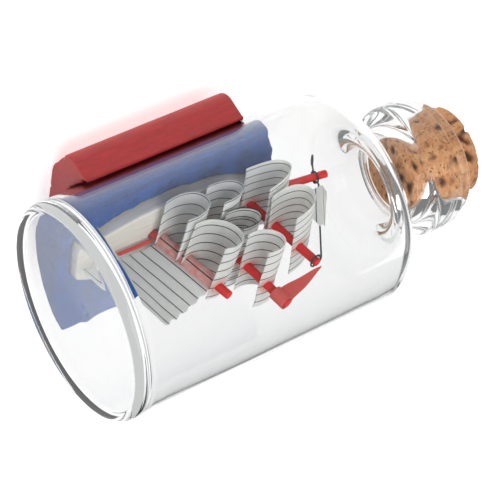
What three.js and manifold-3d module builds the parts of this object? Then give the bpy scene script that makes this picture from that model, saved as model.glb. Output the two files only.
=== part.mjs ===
// A souvenir ship in a corked glass bottle that lies on a painted wooden cradle.
// Millimetres. +X runs along the bottle from its base to its cork, +Y is the ship's port side, +Z is up.
// The origin is under the middle of the whole length, on the surface that the cradle stands on.
// Inside the bottle, x is measured from the bottle's base and z from the bottle's axis.
import * as THREE from 'three';
import Module from 'manifold-3d';
import { mergeVertices } from 'three/addons/utils/BufferGeometryUtils.js';

const wasm = await Module();
wasm.setup();

// ---- driving dimensions -------------------------------------------------------------------------

const gap = 0.3;                 // left between pieces that touch
const degree = Math.PI / 180;

const bottle = {
  radius: 23.5, wall: 1.2, baseThickness: 3.2, pushUp: 0.8, footRadius: 21.8, footWidth: 1.4,
  heel: 2, innerHeel: 1.6, bodyLength: 64.5, shoulderLength: 10, neckLength: 6.2, neckRadius: 10.4,
  lipLength: 10.7, lipRadius: 14.7, rimLength: 3.4, rimRadius: 13.3,
};
const cork = { innerRadius: 8.1, outerRadius: 10.3, length: 17.3, seated: 12.5, chamfer: 0.7 };
const stand = {
  length: 38, fromBase: 11.2, wood: 4.8, footHalf: 8.6,
  chineHalf: 15.2, chineRise: 2.8, waistHalf: 18.9, waistRise: 7.1, hornAngle: 42,
};
const sea = { depth: 9.7, climb: 3.2, shoreAngle: 25, aft: 6.4, fore: 56.5, corner: 8 };
const hull = {
  aft: 9.6, fore: 52.6, halfBeam: 8.2, transomHalf: 5, widest: 28,
  freeboard: 2.4, draught: 3, sheer: 1.5, sheerFrom: 43,
};
const stick = { mastRadius: 1, boomRadius: 0.45, spritRadius: 0.9, stepDepth: 1.5 };
const paper = 0.4;               // thickness of every sail and of the pennant
const thread = 0.28;             // radius of the stay

// A mast: where it meets the deck, how far it leans forward, and its height above the deck.
const masts = {
  mizzen_mast: { x: 25.4, rake: 13.3 * degree, height: 21.2 },
  main_mast: { x: 35.28, rake: 8.9 * degree, height: 28.2 },
  fore_mast: { x: 47.2, rake: 10.6 * degree, height: 22.6 },
};
// A square sail: foot and height along its mast, how far its belly stands forward, its width to port
// and to starboard of the mast, the turn about its mast, and how far the pull of the belly reaches
// below the foot and above the head.
const squareSails = {
  mizzen_course: {
    on: 'mizzen_mast', foot: 1.9, height: 6.2, belly: 6.4, port: 11.9, starboard: 9,
    turn: 7, sag: 1.4, lift: 3,
  },
  mizzen_topsail: {
    on: 'mizzen_mast', foot: 9.3, height: 8.2, belly: 5.4, port: 11, starboard: 3.2,
    turn: 13, sag: 0.8, lift: 4,
  },
  main_course: {
    on: 'main_mast', foot: 2.4, height: 5.3, belly: 4.8, port: 12.2, starboard: 9,
    turn: 7, sag: 0, lift: 1.5,
  },
  main_topsail: {
    on: 'main_mast', foot: 8.6, height: 5.2, belly: 4.3, port: 10, starboard: 8,
    turn: 9, sag: 0, lift: 2,
  },
  main_topgallant: {
    on: 'main_mast', foot: 15.8, height: 5.9, belly: 3.9, port: 10.8, starboard: 6.5,
    turn: 3, sag: 0, lift: 3,
  },
  fore_course: {
    on: 'fore_mast', foot: 1.9, height: 7.1, belly: 5.9, port: 12.8, starboard: 9,
    turn: -4.5, sag: -2.4, lift: 0.6,
  },
  fore_topsail: {
    on: 'fore_mast', foot: 9.8, height: 7.2, belly: 5.7, port: 11.5, starboard: 8.5,
    turn: -5.5, sag: 1, lift: 1.6,
  },
};
const sailMargin = 2;            // paper aft of the mast's middle at the head and the foot of a sail
const spanker = { foot: 1.9, luff: 15.3, chord: 17, clewDrop: 3.4, peakRise: 1.9, wave: 0.5, leech: 3 };
const boom = { aft: 13.4 };
const sprit = { x: 49.2, length: 18.1, rise: 7.8 * degree, bury: 0.7 };
const stay = { mastHead: 0.5, onSprit: 15.4, tail: 2.2, eyeRadius: 0.75, eyeStretch: 1.7 };
const jib = { head: 0.62, tack: 0.1, foot: 7.6, ahead: 0.6, toPort: 1, wing: 4, wingTurn: 60 * degree };
const pennant = { drop: 3.5, length: 12.4, dip: 2.4 };

// ---- sizes that follow --------------------------------------------------------------------------

const shoulderEnd = bottle.bodyLength + bottle.shoulderLength;
const lipStart = shoulderEnd + bottle.neckLength;
const mouth = lipStart + bottle.lipLength;
const corkInner = mouth - cork.seated;
const overall = corkInner + cork.length;
const inside = bottle.radius - bottle.wall;
const axisHeight = stand.wood + gap + bottle.radius;
const seaLevel = -inside + sea.depth;
const deck = seaLevel + hull.freeboard;
const keel = seaLevel - hull.draught;
const spritFoot = deck + hull.sheer - sprit.bury;

// ---- solids -------------------------------------------------------------------------------------

const axisX = new THREE.Vector3(1, 0, 0);
const axisY = new THREE.Vector3(0, 1, 0);
const axisZ = new THREE.Vector3(0, 0, 1);

// A closed geometry as a solid with its faces pointing out.
function solid(geometry) {
  const bare = geometry.clone();
  bare.deleteAttribute('normal');
  bare.deleteAttribute('uv');
  const merged = mergeVertices(bare, 1e-4);
  const positions = new Float32Array(merged.getAttribute('position').array);
  const index = new Uint32Array(merged.getIndex().array);
  const corner = (i) => new THREE.Vector3().fromArray(positions, 3 * index[i]);
  let volume = 0;
  for (let i = 0; i < index.length; i += 3) {
    volume += corner(i).dot(corner(i + 1).cross(corner(i + 2)));
  }
  if (volume < 0) index.reverse();
  return new wasm.Manifold(new wasm.Mesh({ numProp: 3, vertProperties: positions, triVerts: index }));
}

function geometryOf(manifold) {
  const { vertProperties, triVerts } = manifold.getMesh();
  const geometry = new THREE.BufferGeometry();
  geometry.setAttribute('position', new THREE.BufferAttribute(new Float32Array(vertProperties), 3));
  geometry.setIndex(new THREE.BufferAttribute(new Uint32Array(triVerts), 1));
  geometry.computeVertexNormals();
  return geometry;
}

function extrude(shape, depth, curveSegments = 12) {
  return new THREE.ExtrudeGeometry(shape, { depth, curveSegments, bevelEnabled: false });
}

// A shape drawn in y and z, drawn out along X.
function alongX(shape, from, to, curveSegments) {
  const basis = new THREE.Matrix4().makeBasis(axisY, axisZ, axisX);
  return extrude(shape, to - from, curveSegments).applyMatrix4(basis).translate(from, 0, 0);
}

// A shape drawn in x and z, drawn out along Y to the same distance on both sides.
function alongY(shape, half, curveSegments) {
  const basis = new THREE.Matrix4().makeBasis(axisX, axisZ, axisY.clone().negate());
  return extrude(shape, 2 * half, curveSegments).applyMatrix4(basis).translate(0, half, 0);
}

// A shape drawn in x and y, drawn out along Z.
function alongZ(shape, from, to, curveSegments) {
  return extrude(shape, to - from, curveSegments).translate(0, 0, from);
}

// A profile of [distance from the axis, distance along X], turned about X.
function turned(profile, segments) {
  const points = profile.map(([r, x]) => new THREE.Vector2(r, x));
  return new THREE.LatheGeometry(points, segments).rotateZ(-Math.PI / 2);
}

// A round rod between two points.
function rod(from, to, radius, segments = 14) {
  const span = to.clone().sub(from);
  const turn = new THREE.Quaternion().setFromUnitVectors(axisY, span.clone().normalize());
  const middle = from.clone().add(to).multiplyScalar(0.5);
  return new THREE.CylinderGeometry(radius, radius, span.length(), segments)
    .applyQuaternion(turn).translate(middle.x, middle.y, middle.z);
}

// A ring about a line through a point.
function ring(centre, direction, radius, wireRadius) {
  const turn = new THREE.Quaternion().setFromUnitVectors(axisZ, direction.clone().normalize());
  return new THREE.TorusGeometry(radius, wireRadius, 6, 18)
    .applyQuaternion(turn).translate(centre.x, centre.y, centre.z);
}

// The outline of a strip of paper that follows a curve, as a shape of even thickness.
function strip(curve, steps, thickness) {
  const left = [];
  const right = [];
  for (let i = 0; i <= steps; i += 1) {
    const point = curve.getPoint(i / steps);
    const tangent = curve.getTangent(i / steps);
    const side = new THREE.Vector2(-tangent.y, tangent.x).multiplyScalar(thickness / 2);
    left.push(point.clone().add(side));
    right.push(point.clone().sub(side));
  }
  return new THREE.Shape([...left, ...right.reverse()]);
}

// ---- bottle, cork and cradle --------------------------------------------------------------------

// Points of a quarter ellipse or of any other arc, as [r, x].
function arc(centreR, centreX, radiusR, radiusX, from, to, steps) {
  const points = [];
  for (let i = 0; i <= steps; i += 1) {
    const angle = (from + (to - from) * i / steps) * degree;
    points.push([centreR + radiusR * Math.cos(angle), centreX + radiusX * Math.sin(angle)]);
  }
  return points;
}

// The shoulder's S curve from the body to the neck, drawn inwards by an offset.
function shoulder(bodyRadius, neckRadius, from, length, steps) {
  const drop = bodyRadius - neckRadius;
  const lower = 0.6;             // share of the drop in the round part below the hollow part
  return [
    ...arc(bodyRadius - drop * lower, from, drop * lower, length * lower, 0, 90, steps).slice(0, -1),
    ...arc(neckRadius + drop * (1 - lower), from + length, drop * (1 - lower), length * (1 - lower),
      270, 180, steps),
  ];
}

function boreRadius(x) {
  const taper = (cork.outerRadius - cork.innerRadius) / cork.length;
  return cork.innerRadius + gap + taper * Math.max(x - corkInner, 0);
}

function bottleSolid() {
  const foot = bottle.footRadius;
  const heelR = bottle.radius - foot;
  const rimStart = mouth - bottle.rimLength;
  const round = 1.6;             // rounding of the lip's two ends
  const soft = 0.9;              // rounding beside the groove between the lip and its rim
  const outer = [
    [0, bottle.pushUp], [(foot - bottle.footWidth) / 2, 0.8 * bottle.pushUp], [foot - bottle.footWidth, 0],
    ...arc(foot, bottle.heel, heelR, bottle.heel, -90, 0, 6),
    ...shoulder(bottle.radius, bottle.neckRadius, bottle.bodyLength, bottle.shoulderLength, 5),
    [bottle.neckRadius, lipStart - 1],
    ...arc(bottle.lipRadius - round, lipStart + round, round, round, -60, 0, 3),
    ...arc(bottle.lipRadius - soft, rimStart - soft, soft, soft, 0, 75, 3),
    [bottle.rimRadius - 0.3, rimStart + 0.15],
    ...arc(bottle.rimRadius - soft, rimStart + 0.4 + soft, soft, soft, -45, 0, 2),
    ...arc(bottle.rimRadius - round, mouth - round, round, round, 0, 90, 3),
  ];
  const inner = [
    [boreRadius(mouth) + 0.5, mouth], [boreRadius(mouth - 0.5), mouth - 0.5],
    [boreRadius(corkInner), corkInner], [boreRadius(corkInner), shoulderEnd],
    ...shoulder(inside, boreRadius(corkInner), bottle.bodyLength - 0.4, bottle.shoulderLength, 5)
      .reverse().slice(1),
    ...arc(inside - bottle.innerHeel, bottle.baseThickness + bottle.innerHeel, bottle.innerHeel,
      bottle.innerHeel, 0, -90, 5),
    [0, bottle.baseThickness + bottle.pushUp],
  ];
  return turned([...outer, ...inner], 40);
}

function corkSolid() {
  const c = cork.chamfer;
  const far = corkInner + cork.length;
  const profile = [
    [0, corkInner], [cork.innerRadius - c, corkInner], [cork.innerRadius, corkInner + c],
    [cork.outerRadius, far - c], [cork.outerRadius - c, far], [0, far],
  ];
  return turned(profile, 32);
}

// The cradle's end outline: a flat foot, round lower edges and a hollow that follows the glass.
function standSolid() {
  const seat = bottle.radius + gap;
  const bottom = -seat - stand.wood;
  const horn = (-90 + stand.hornAngle + 6) * degree;
  const shape = new THREE.Shape();
  shape.moveTo(-stand.footHalf, bottom);
  shape.lineTo(stand.footHalf, bottom);
  shape.quadraticCurveTo(stand.footHalf + 2, bottom, stand.footHalf + 3, bottom + 0.9);
  shape.lineTo(stand.chineHalf, bottom + stand.chineRise);
  shape.quadraticCurveTo(stand.waistHalf, bottom + stand.chineRise + 1.6, stand.waistHalf,
    bottom + stand.waistRise);
  shape.lineTo(seat * Math.cos(horn), seat * Math.sin(horn));
  shape.absarc(0, 0, seat, horn, -Math.PI - horn, true);
  shape.lineTo(-stand.waistHalf, bottom + stand.waistRise);
  shape.quadraticCurveTo(-stand.waistHalf, bottom + stand.chineRise + 1.6, -stand.chineHalf,
    bottom + stand.chineRise);
  shape.lineTo(-stand.footHalf - 3, bottom + 0.9);
  shape.quadraticCurveTo(-stand.footHalf - 2, bottom, -stand.footHalf, bottom);
  return alongX(shape, stand.fromBase, stand.fromBase + stand.length, 14);
}

// ---- sea and hull -------------------------------------------------------------------------------

// The hull's block, grown by a margin where the sea has to leave room for it.
function hullBlock(margin) {
  const plan = new THREE.Shape();
  const half = hull.halfBeam + margin;
  const aft = hull.aft - margin;
  const fore = hull.fore + margin;
  plan.moveTo(aft, -hull.transomHalf - margin);
  plan.bezierCurveTo(aft + 8, -half, hull.widest, -half, hull.widest + 4, -half);
  plan.bezierCurveTo(fore - 9, -half, fore - 3, -2.6 - margin, fore, 0);
  plan.bezierCurveTo(fore - 3, 2.6 + margin, fore - 9, half, hull.widest + 4, half);
  plan.bezierCurveTo(hull.widest, half, aft + 8, half, aft, hull.transomHalf + margin);
  const top = deck + hull.sheer + 1 + margin;
  const side = new THREE.Shape();
  side.moveTo(hull.aft + 1.5 - margin, keel - margin);
  side.lineTo(hull.fore - 5, keel - margin);
  side.quadraticCurveTo(hull.fore - 1 + margin, keel - margin, fore, seaLevel);
  side.lineTo(fore + 1, top);
  side.lineTo(hull.aft - 1 - margin, top);
  side.lineTo(hull.aft - margin, seaLevel);
  return solid(alongZ(plan, keel - 1 - margin, top + 1, 10)).intersect(solid(alongY(side, half + 1, 8)));
}

// What lies above the deck, which is flat and then rises towards the bow.
function aboveDeck() {
  const shape = new THREE.Shape();
  const high = deck + 20;
  shape.moveTo(hull.aft - 5, deck);
  shape.lineTo(hull.sheerFrom, deck);
  shape.quadraticCurveTo(hull.fore - 4, deck + 0.2, hull.fore + 0.5, deck + hull.sheer);
  shape.lineTo(hull.fore + 5, deck + hull.sheer);
  shape.lineTo(hull.fore + 5, high);
  shape.lineTo(hull.aft - 5, high);
  return solid(alongY(shape, hull.halfBeam + 5, 8));
}

function hullSolid() {
  let body = hullBlock(0).subtract(aboveDeck());
  for (const mast of Object.values(masts)) {
    const [from, to] = [mastPoint(mast, -stick.stepDepth - gap), mastPoint(mast, 6)];
    body = body.subtract(solid(rod(from, to, stick.mastRadius + gap)));
  }
  const [from, to] = [spritPoint(-gap), spritPoint(sprit.length)];
  return geometryOf(body.subtract(solid(rod(from, to, stick.spritRadius + gap))));
}

function seaSolid() {
  const radius = inside - gap;
  const shore = sea.shoreAngle * degree;
  const edge = [radius * Math.cos(shore), -radius * Math.sin(shore)];
  const flat = hull.halfBeam + 1.5;
  const section = new THREE.Shape();
  section.moveTo(-flat, seaLevel);
  section.lineTo(flat, seaLevel);
  section.bezierCurveTo(flat + 5, seaLevel, edge[0] - 3, edge[1] - sea.climb / 3, edge[0], edge[1]);
  section.absarc(0, 0, radius, -shore, -Math.PI + shore, true);
  section.bezierCurveTo(-edge[0] + 3, edge[1] - sea.climb / 3, -flat - 5, seaLevel, -flat, seaLevel);
  const plan = new THREE.Shape();
  const wide = inside + 1;
  plan.moveTo(sea.aft, -wide + sea.corner);
  plan.quadraticCurveTo(sea.aft, -wide + 2, sea.aft + 2, -wide);
  plan.lineTo(sea.fore - 9, -wide);
  plan.bezierCurveTo(sea.fore - 3, -wide + sea.corner, sea.fore, -sea.corner, sea.fore, 0);
  plan.bezierCurveTo(sea.fore, sea.corner, sea.fore - 3, wide - sea.corner, sea.fore - 9, wide);
  plan.lineTo(sea.aft + 2, wide);
  plan.quadraticCurveTo(sea.aft, wide - 2, sea.aft, wide - sea.corner);
  const whole = solid(alongX(section, sea.aft - 1, sea.fore + 1, 16))
    .intersect(solid(alongZ(plan, -inside - 1, 0, 8)));
  return geometryOf(whole.subtract(hullBlock(gap)));
}

// ---- masts, boom and bowsprit -------------------------------------------------------------------

// A point on a mast, at a distance above the deck.
function mastPoint(mast, up) {
  return new THREE.Vector3(mast.x + up * Math.sin(mast.rake), 0, deck + up * Math.cos(mast.rake));
}

function spritPoint(along) {
  return new THREE.Vector3(sprit.x + along * Math.cos(sprit.rise), 0,
    spritFoot + along * Math.sin(sprit.rise));
}

function mastSolid(mast) {
  return rod(mastPoint(mast, -stick.stepDepth), mastPoint(mast, mast.height), stick.mastRadius);
}

function boomSolid() {
  const mast = masts.mizzen_mast;
  const tack = mastPoint(mast, spanker.foot);
  const z = tack.z - gap - stick.boomRadius;
  const along = (z - deck) * Math.tan(mast.rake);
  const end = new THREE.Vector3(mast.x + along - stick.mastRadius - 2 * gap, 0, z);
  return rod(new THREE.Vector3(boom.aft, 0, z), end, stick.boomRadius, 10);
}

// ---- sails --------------------------------------------------------------------------------------

// In its own frame a sail's mast stands on the origin along Z, and the belly faces +X.
function squareSailSolid({ height, belly, port, starboard, sag, lift }, holeRadius, openAft) {
  const reach = (belly + sailMargin / 4) / 0.75;
  const curve = new THREE.CubicBezierCurve(
    new THREE.Vector2(-sailMargin, 0), new THREE.Vector2(reach, -sag),
    new THREE.Vector2(reach, height + lift), new THREE.Vector2(-sailMargin, height));
  let sheet = solid(alongY(strip(curve, 16, paper), (port + starboard) / 2)
    .translate(0, (port - starboard) / 2, 0));
  const low = new THREE.Vector3(0, 0, -Math.max(sag, 0) - 1);
  const high = new THREE.Vector3(0, 0, height + lift + 1);
  sheet = sheet.subtract(solid(rod(low, high, holeRadius)));
  if (openAft) {
    const slot = new THREE.BoxGeometry(2 * sailMargin, 2 * holeRadius, high.z - low.z);
    slot.translate(-sailMargin, 0, (low.z + high.z) / 2);
    sheet = sheet.subtract(solid(slot));
  }
  return geometryOf(sheet);
}

// The spanker is glued round the mizzen mast and stands aft of it, with its leech curled to port.
function spankerSolid() {
  const inner = stick.mastRadius + gap;
  const outer = inner + paper;
  const low = spanker.foot - spanker.clewDrop - 1;
  const high = spanker.foot + spanker.luff + spanker.peakRise + 1;
  const wave = new THREE.CubicBezierCurve(
    new THREE.Vector2(-inner - paper / 2, 0), new THREE.Vector2(-spanker.chord / 3, -spanker.wave),
    new THREE.Vector2(-2 * spanker.chord / 3, spanker.wave),
    new THREE.Vector2(-spanker.chord, spanker.leech));
  const leaf = solid(alongZ(strip(wave, 14, paper), low, high));
  const wrap = solid(rod(new THREE.Vector3(0, 0, low), new THREE.Vector3(0, 0, high), outer, 18));
  const core = solid(rod(new THREE.Vector3(0, 0, low - 1), new THREE.Vector3(0, 0, high + 1), inner, 18));
  const outline = new THREE.Shape();
  outline.moveTo(outer + 1, spanker.foot);
  outline.lineTo(-outer, spanker.foot);
  outline.lineTo(-spanker.chord - 1, spanker.foot - spanker.clewDrop);
  outline.lineTo(-spanker.chord - 1, spanker.foot + spanker.luff + spanker.peakRise);
  outline.lineTo(-outer, spanker.foot + spanker.luff);
  outline.lineTo(outer + 1, spanker.foot + spanker.luff);
  return geometryOf(leaf.add(wrap).subtract(core).intersect(solid(alongY(outline, 5))));
}

// A flag of red paper round the head of the main mast, streaming forward to a point.
function pennantSolid() {
  const inner = stick.mastRadius + gap;
  const outer = inner + paper;
  const outline = new THREE.Shape();
  outline.moveTo(0, 0);
  outline.lineTo(0, -pennant.drop);
  outline.quadraticCurveTo(pennant.length / 2, -pennant.drop, pennant.length, -pennant.dip);
  outline.quadraticCurveTo(pennant.length / 2, -0.8, 0, 0);
  const leaf = solid(alongY(outline, paper / 2, 8));
  const low = new THREE.Vector3(0, 0, -pennant.drop);
  const high = new THREE.Vector3(0, 0, 0);
  const wrap = solid(rod(low, high, outer, 18));
  const core = solid(rod(low.clone().setZ(low.z - 1), high.clone().setZ(1), inner, 18));
  return geometryOf(leaf.add(wrap).subtract(core));
}

// ---- forestay and jib ---------------------------------------------------------------------------

const turnRadius = { mast: stick.mastRadius + gap + thread, sprit: stick.spritRadius + gap + thread };

// Where the stay is turned round its mast and its sprit, and the straight run between the two turns.
function stayRun() {
  const fore = masts.fore_mast;
  const head = mastPoint(fore, fore.height - stay.mastHead);
  const foot = spritPoint(stay.onSprit);
  const forward = new THREE.Vector3(Math.cos(fore.rake), 0, -Math.sin(fore.rake));
  const above = new THREE.Vector3(-Math.sin(sprit.rise), 0, Math.cos(sprit.rise));
  const start = head.clone().addScaledVector(forward, turnRadius.mast);
  const end = foot.clone().addScaledVector(above, turnRadius.sprit);
  return { head, foot, above, start, end };
}

// One thread: a turn round the fore mast, the stay, a knotted turn round the bowsprit, and a tail
// that ends in a stiff eye.
function forestaySolid() {
  const { head, foot, above, start, end } = stayRun();
  const up = mastPoint(masts.fore_mast, 1).sub(mastPoint(masts.fore_mast, 0));
  const out = spritPoint(1).sub(spritPoint(0));
  const under = foot.clone().addScaledVector(above, -turnRadius.sprit);
  const line = end.clone().sub(start).normalize();
  const tail = under.clone().addScaledVector(line, stay.tail);
  const eyeCentre = tail.clone().addScaledVector(line, stay.eyeRadius * stay.eyeStretch);
  const eye = new THREE.TorusGeometry(stay.eyeRadius, thread, 6, 16).scale(1, stay.eyeStretch, 1);
  eye.applyQuaternion(new THREE.Quaternion().setFromUnitVectors(axisY, line));
  eye.translate(eyeCentre.x, eyeCentre.y, eyeCentre.z);
  const pieces = [
    ring(head, up, turnRadius.mast, thread), rod(start, end, thread, 8),
    ring(foot, out, turnRadius.sprit, thread), rod(under, tail, thread, 8), eye,
  ];
  const lump = end.clone().addScaledVector(above, thread);
  const knot = new THREE.SphereGeometry(2 * thread, 10, 8).translate(lump.x, lump.y, lump.z);
  return geometryOf(pieces.map(solid).reduce((whole, piece) => whole.add(piece), solid(knot)));
}

// Paper folded over the forestay, with its crease to port of the thread and a little ahead of it. One
// wing lies aft and the other has sprung forward to starboard, and both narrow towards the head.
function jibSolid() {
  const { start, end } = stayRun();
  const run = end.clone().sub(start);
  const top = start.clone().addScaledVector(run, 1 - jib.head);
  const tack = start.clone().addScaledVector(run, 1 - jib.tack);
  const crease = new THREE.Vector2(jib.ahead, jib.toPort);
  const forward = new THREE.Vector2(Math.cos(jib.wingTurn), -Math.sin(jib.wingTurn)).multiplyScalar(jib.wing);
  const outline = new THREE.Shape();
  outline.moveTo(top.x + jib.ahead + forward.x / 3, top.z);
  outline.lineTo(tack.x + jib.ahead + forward.x, tack.z);
  outline.lineTo(tack.x + jib.ahead - jib.foot, tack.z + 0.6);
  outline.lineTo(top.x - 0.3, top.z);
  // The wings lean with the stay, so that the crease keeps the same distance from the thread.
  const lean = run.x / run.z;
  const shear = new THREE.Matrix4().set(
    1, 0, lean, tack.x - lean * tack.z, 0, 1, 0, 0, 0, 0, 1, 0, 0, 0, 0, 1);
  const wing = (from, to) => solid(extrude(strip(new THREE.LineCurve(from, to), 1, paper),
    top.z - tack.z + 4).translate(0, 0, tack.z - 2).applyMatrix4(shear));
  const fold = wing(new THREE.Vector2(-jib.foot - 2, jib.toPort), crease)
    .add(wing(crease, crease.clone().add(forward)));
  return geometryOf(fold.intersect(solid(alongY(outline, 8))));
}

// ---- assembly -----------------------------------------------------------------------------------

function named(name, geometry, color, roughness, metalness = 0) {
  const mesh = new THREE.Mesh(geometry, new THREE.MeshStandardMaterial({ color, roughness, metalness }));
  mesh.name = name;
  return mesh;
}

// A group that stands on a mast at a distance above the deck, with +Z up the mast.
function onMast(mast, up, turn = 0) {
  const place = new THREE.Group();
  place.position.copy(mastPoint(mast, up));
  place.rotation.set(0, mast.rake, 0);
  place.rotateZ(-turn * degree);
  return place;
}

const red = 0xb3282a;
const white = 0xdedede;

const group = new THREE.Group();
const aboutAxis = new THREE.Group();
aboutAxis.position.set(-overall / 2, 0, axisHeight);
group.add(aboutAxis);

aboutAxis.add(named('stand', standSolid(), red, 0.6));
aboutAxis.add(named('bottle', bottleSolid(), 0xe8eeee, 0.05));
aboutAxis.add(named('cork', corkSolid(), 0xb98552, 0.85));
aboutAxis.add(named('sea', seaSolid(), 0x3c66a0, 0.6));
aboutAxis.add(named('hull', hullSolid(), 0xe6e2d8, 0.4));
aboutAxis.add(named('bowsprit', rod(spritPoint(0), spritPoint(sprit.length), stick.spritRadius), red, 0.6));
aboutAxis.add(named('spanker_boom', boomSolid(), red, 0.6));
for (const [name, mast] of Object.entries(masts)) {
  aboutAxis.add(named(name, mastSolid(mast), red, 0.6));
}

const wrapClearance = stick.mastRadius + gap + paper + gap;
for (const [name, sail] of Object.entries(squareSails)) {
  const onMizzen = sail.on === 'mizzen_mast';
  const hole = onMizzen ? wrapClearance : stick.mastRadius + gap;
  const place = onMast(masts[sail.on], sail.foot, sail.turn);
  place.add(named(name, squareSailSolid(sail, hole, onMizzen), white, 0.9));
  aboutAxis.add(place);
}

const atMizzen = onMast(masts.mizzen_mast, 0);
atMizzen.add(named('spanker', spankerSolid(), white, 0.9));
const atMainHead = onMast(masts.main_mast, masts.main_mast.height - 0.2);
atMainHead.add(named('pennant', pennantSolid(), 0xe0453f, 0.8));
aboutAxis.add(atMizzen, atMainHead);
aboutAxis.add(named('forestay', forestaySolid(), 0x3c3c40, 0.8));
aboutAxis.add(named('jib', jibSolid(), white, 0.9));

export default group;
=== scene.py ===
"""A souvenir ship in a corked glass bottle on a red cradle: finished pieces, materials and studio."""

import math

import bpy
import numpy as np
from mathutils import Matrix, Vector, noise


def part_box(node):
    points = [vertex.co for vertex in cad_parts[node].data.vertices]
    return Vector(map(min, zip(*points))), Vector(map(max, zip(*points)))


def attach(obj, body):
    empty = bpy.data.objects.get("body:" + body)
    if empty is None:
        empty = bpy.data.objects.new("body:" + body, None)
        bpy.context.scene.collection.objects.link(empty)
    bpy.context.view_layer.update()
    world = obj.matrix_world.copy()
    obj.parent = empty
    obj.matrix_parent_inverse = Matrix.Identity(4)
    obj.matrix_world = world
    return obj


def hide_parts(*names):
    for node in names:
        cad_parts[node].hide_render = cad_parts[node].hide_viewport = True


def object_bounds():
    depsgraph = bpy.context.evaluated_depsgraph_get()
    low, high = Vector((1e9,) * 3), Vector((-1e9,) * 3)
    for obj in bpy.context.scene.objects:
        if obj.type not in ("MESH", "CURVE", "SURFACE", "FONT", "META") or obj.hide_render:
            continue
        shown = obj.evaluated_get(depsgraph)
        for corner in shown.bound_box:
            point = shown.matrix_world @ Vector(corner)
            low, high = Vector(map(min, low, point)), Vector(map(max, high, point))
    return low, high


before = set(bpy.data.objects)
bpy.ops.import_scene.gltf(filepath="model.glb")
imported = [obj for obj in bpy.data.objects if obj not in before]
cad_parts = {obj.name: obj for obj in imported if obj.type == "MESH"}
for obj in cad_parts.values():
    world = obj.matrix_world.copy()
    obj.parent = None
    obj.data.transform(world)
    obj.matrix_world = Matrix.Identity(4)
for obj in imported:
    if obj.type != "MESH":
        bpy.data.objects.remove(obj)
CAD_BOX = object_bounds()

bl_info = {
    "name": "Ship in a bottle",
    "version": (1, 0, 0),
    "blender": (4, 5, 0),
    "location": "View3D > Sidebar > Ship",
    "description": "Builds a folded-paper ship in a corked bottle on a painted cradle",
    "category": "Object",
}

# ---- frame of reference -------------------------------------------------------------------------
# Shapes are drawn in millimetres in the bottle's frame: x from its base, z from its axis.

MM = 0.001
GLASS_LOW, GLASS_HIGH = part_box("bottle")
BASE = Vector((GLASS_LOW.x, 0.0, (GLASS_LOW.z + GLASS_HIGH.z) / 2))
RADIUS = (GLASS_HIGH.y - GLASS_LOW.y) / 2 / MM
MOUTH = (GLASS_HIGH.x - GLASS_LOW.x) / MM
TO_WORLD = Matrix.Translation(BASE) @ Matrix.Scale(MM, 4)


def box_mm(node):
    """A CAD node's lowest and highest corner in the bottle's frame, in millimetres."""
    low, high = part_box(node)
    return (low - BASE) / MM, (high - BASE) / MM


def stick_axis(node):
    """The two ends, lower first, and the radius of a round stick, read from its box."""
    low, high = box_mm(node)
    radius = (high.y - low.y) / 2
    size = high - low
    tilt = math.atan2(size.x, size.z)
    for _ in range(60):
        across = size.x - 2 * radius * math.cos(tilt)
        along = size.z - 2 * radius * math.sin(tilt)
        tilt = math.atan2(across, along)
    edge = Vector((radius * math.cos(tilt), 0, radius * math.sin(tilt)))
    middle = (low.y + high.y) / 2
    foot = Vector((low.x, middle, low.z)) + edge
    head = Vector((high.x, middle, high.z)) - edge
    return foot, head, radius


def linear(code):
    """An sRGB hex colour as linear red, green, blue and alpha."""
    parts = [int(code[i : i + 2], 16) / 255 for i in (0, 2, 4)]
    curve = [c / 12.92 if c <= 0.04045 else ((c + 0.055) / 1.055) ** 2.4 for c in parts]
    return (*curve, 1.0)


# ---- sizes and colours a user may change --------------------------------------------------------


def colour(name, description, code):
    return bpy.props.FloatVectorProperty(
        name=name, description=description, subtype="COLOR", size=3, min=0, max=1,
        default=linear(code)[:3],
    )


def size(name, description, default):
    return bpy.props.FloatProperty(name=name, description=description, default=default, precision=2)


class GlassSizes(bpy.types.PropertyGroup):
    wall: size("Wall", "Thickness of the glass, mm", 1.2)
    base: size("Base", "Thickness of the base, mm", 3.2)
    push_up: size("Push-up", "Depth of the hollow under the base, mm", 0.8)
    foot_radius: size("Foot radius", "Radius where the heel meets the foot, mm", 21.8)
    foot_width: size("Foot width", "Width of the ring it stands on, mm", 1.4)
    heel: size("Heel", "Height of the round heel, mm", 2.0)
    inner_heel: size("Inner heel", "Rounding inside, where the wall meets the base, mm", 1.6)
    body: size("Body", "Length of the straight body, mm", 64.5)
    shoulder: size("Shoulder", "Length of the shoulder, mm", 10.0)
    neck: size("Neck", "Length of the neck, mm", 6.2)
    neck_radius: size("Neck radius", "Outer radius of the neck, mm", 10.4)
    lip_radius: size("Lip radius", "Outer radius of the rolled lip, mm", 14.7)
    rim_length: size("Rim length", "Length of the rim ahead of the lip, mm", 3.4)
    rim_radius: size("Rim radius", "Outer radius of the rim, mm", 13.3)
    bore: size("Bore", "Radius of the bore at the cork's inner end, mm", 8.4)
    flare: size("Flare", "How far the bore widens at the mouth, mm", 1.6)
    tint: colour("Tint", "Colour that one wall gives to what is behind it", "EFEFEF")


class CorkSizes(bpy.types.PropertyGroup):
    pit: size("Pits", "Depth of the deepest pits, mm", 0.75)
    chamfer: size("Chamfer", "Worn edge at both ends, mm", 0.7)
    light: colour("Light bark", "Pale grains", "E0A878")
    middle: colour("Bark", "Most of the cork", "C8875A")
    dark: colour("Pits", "Dark pores", "5A3520")


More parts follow.
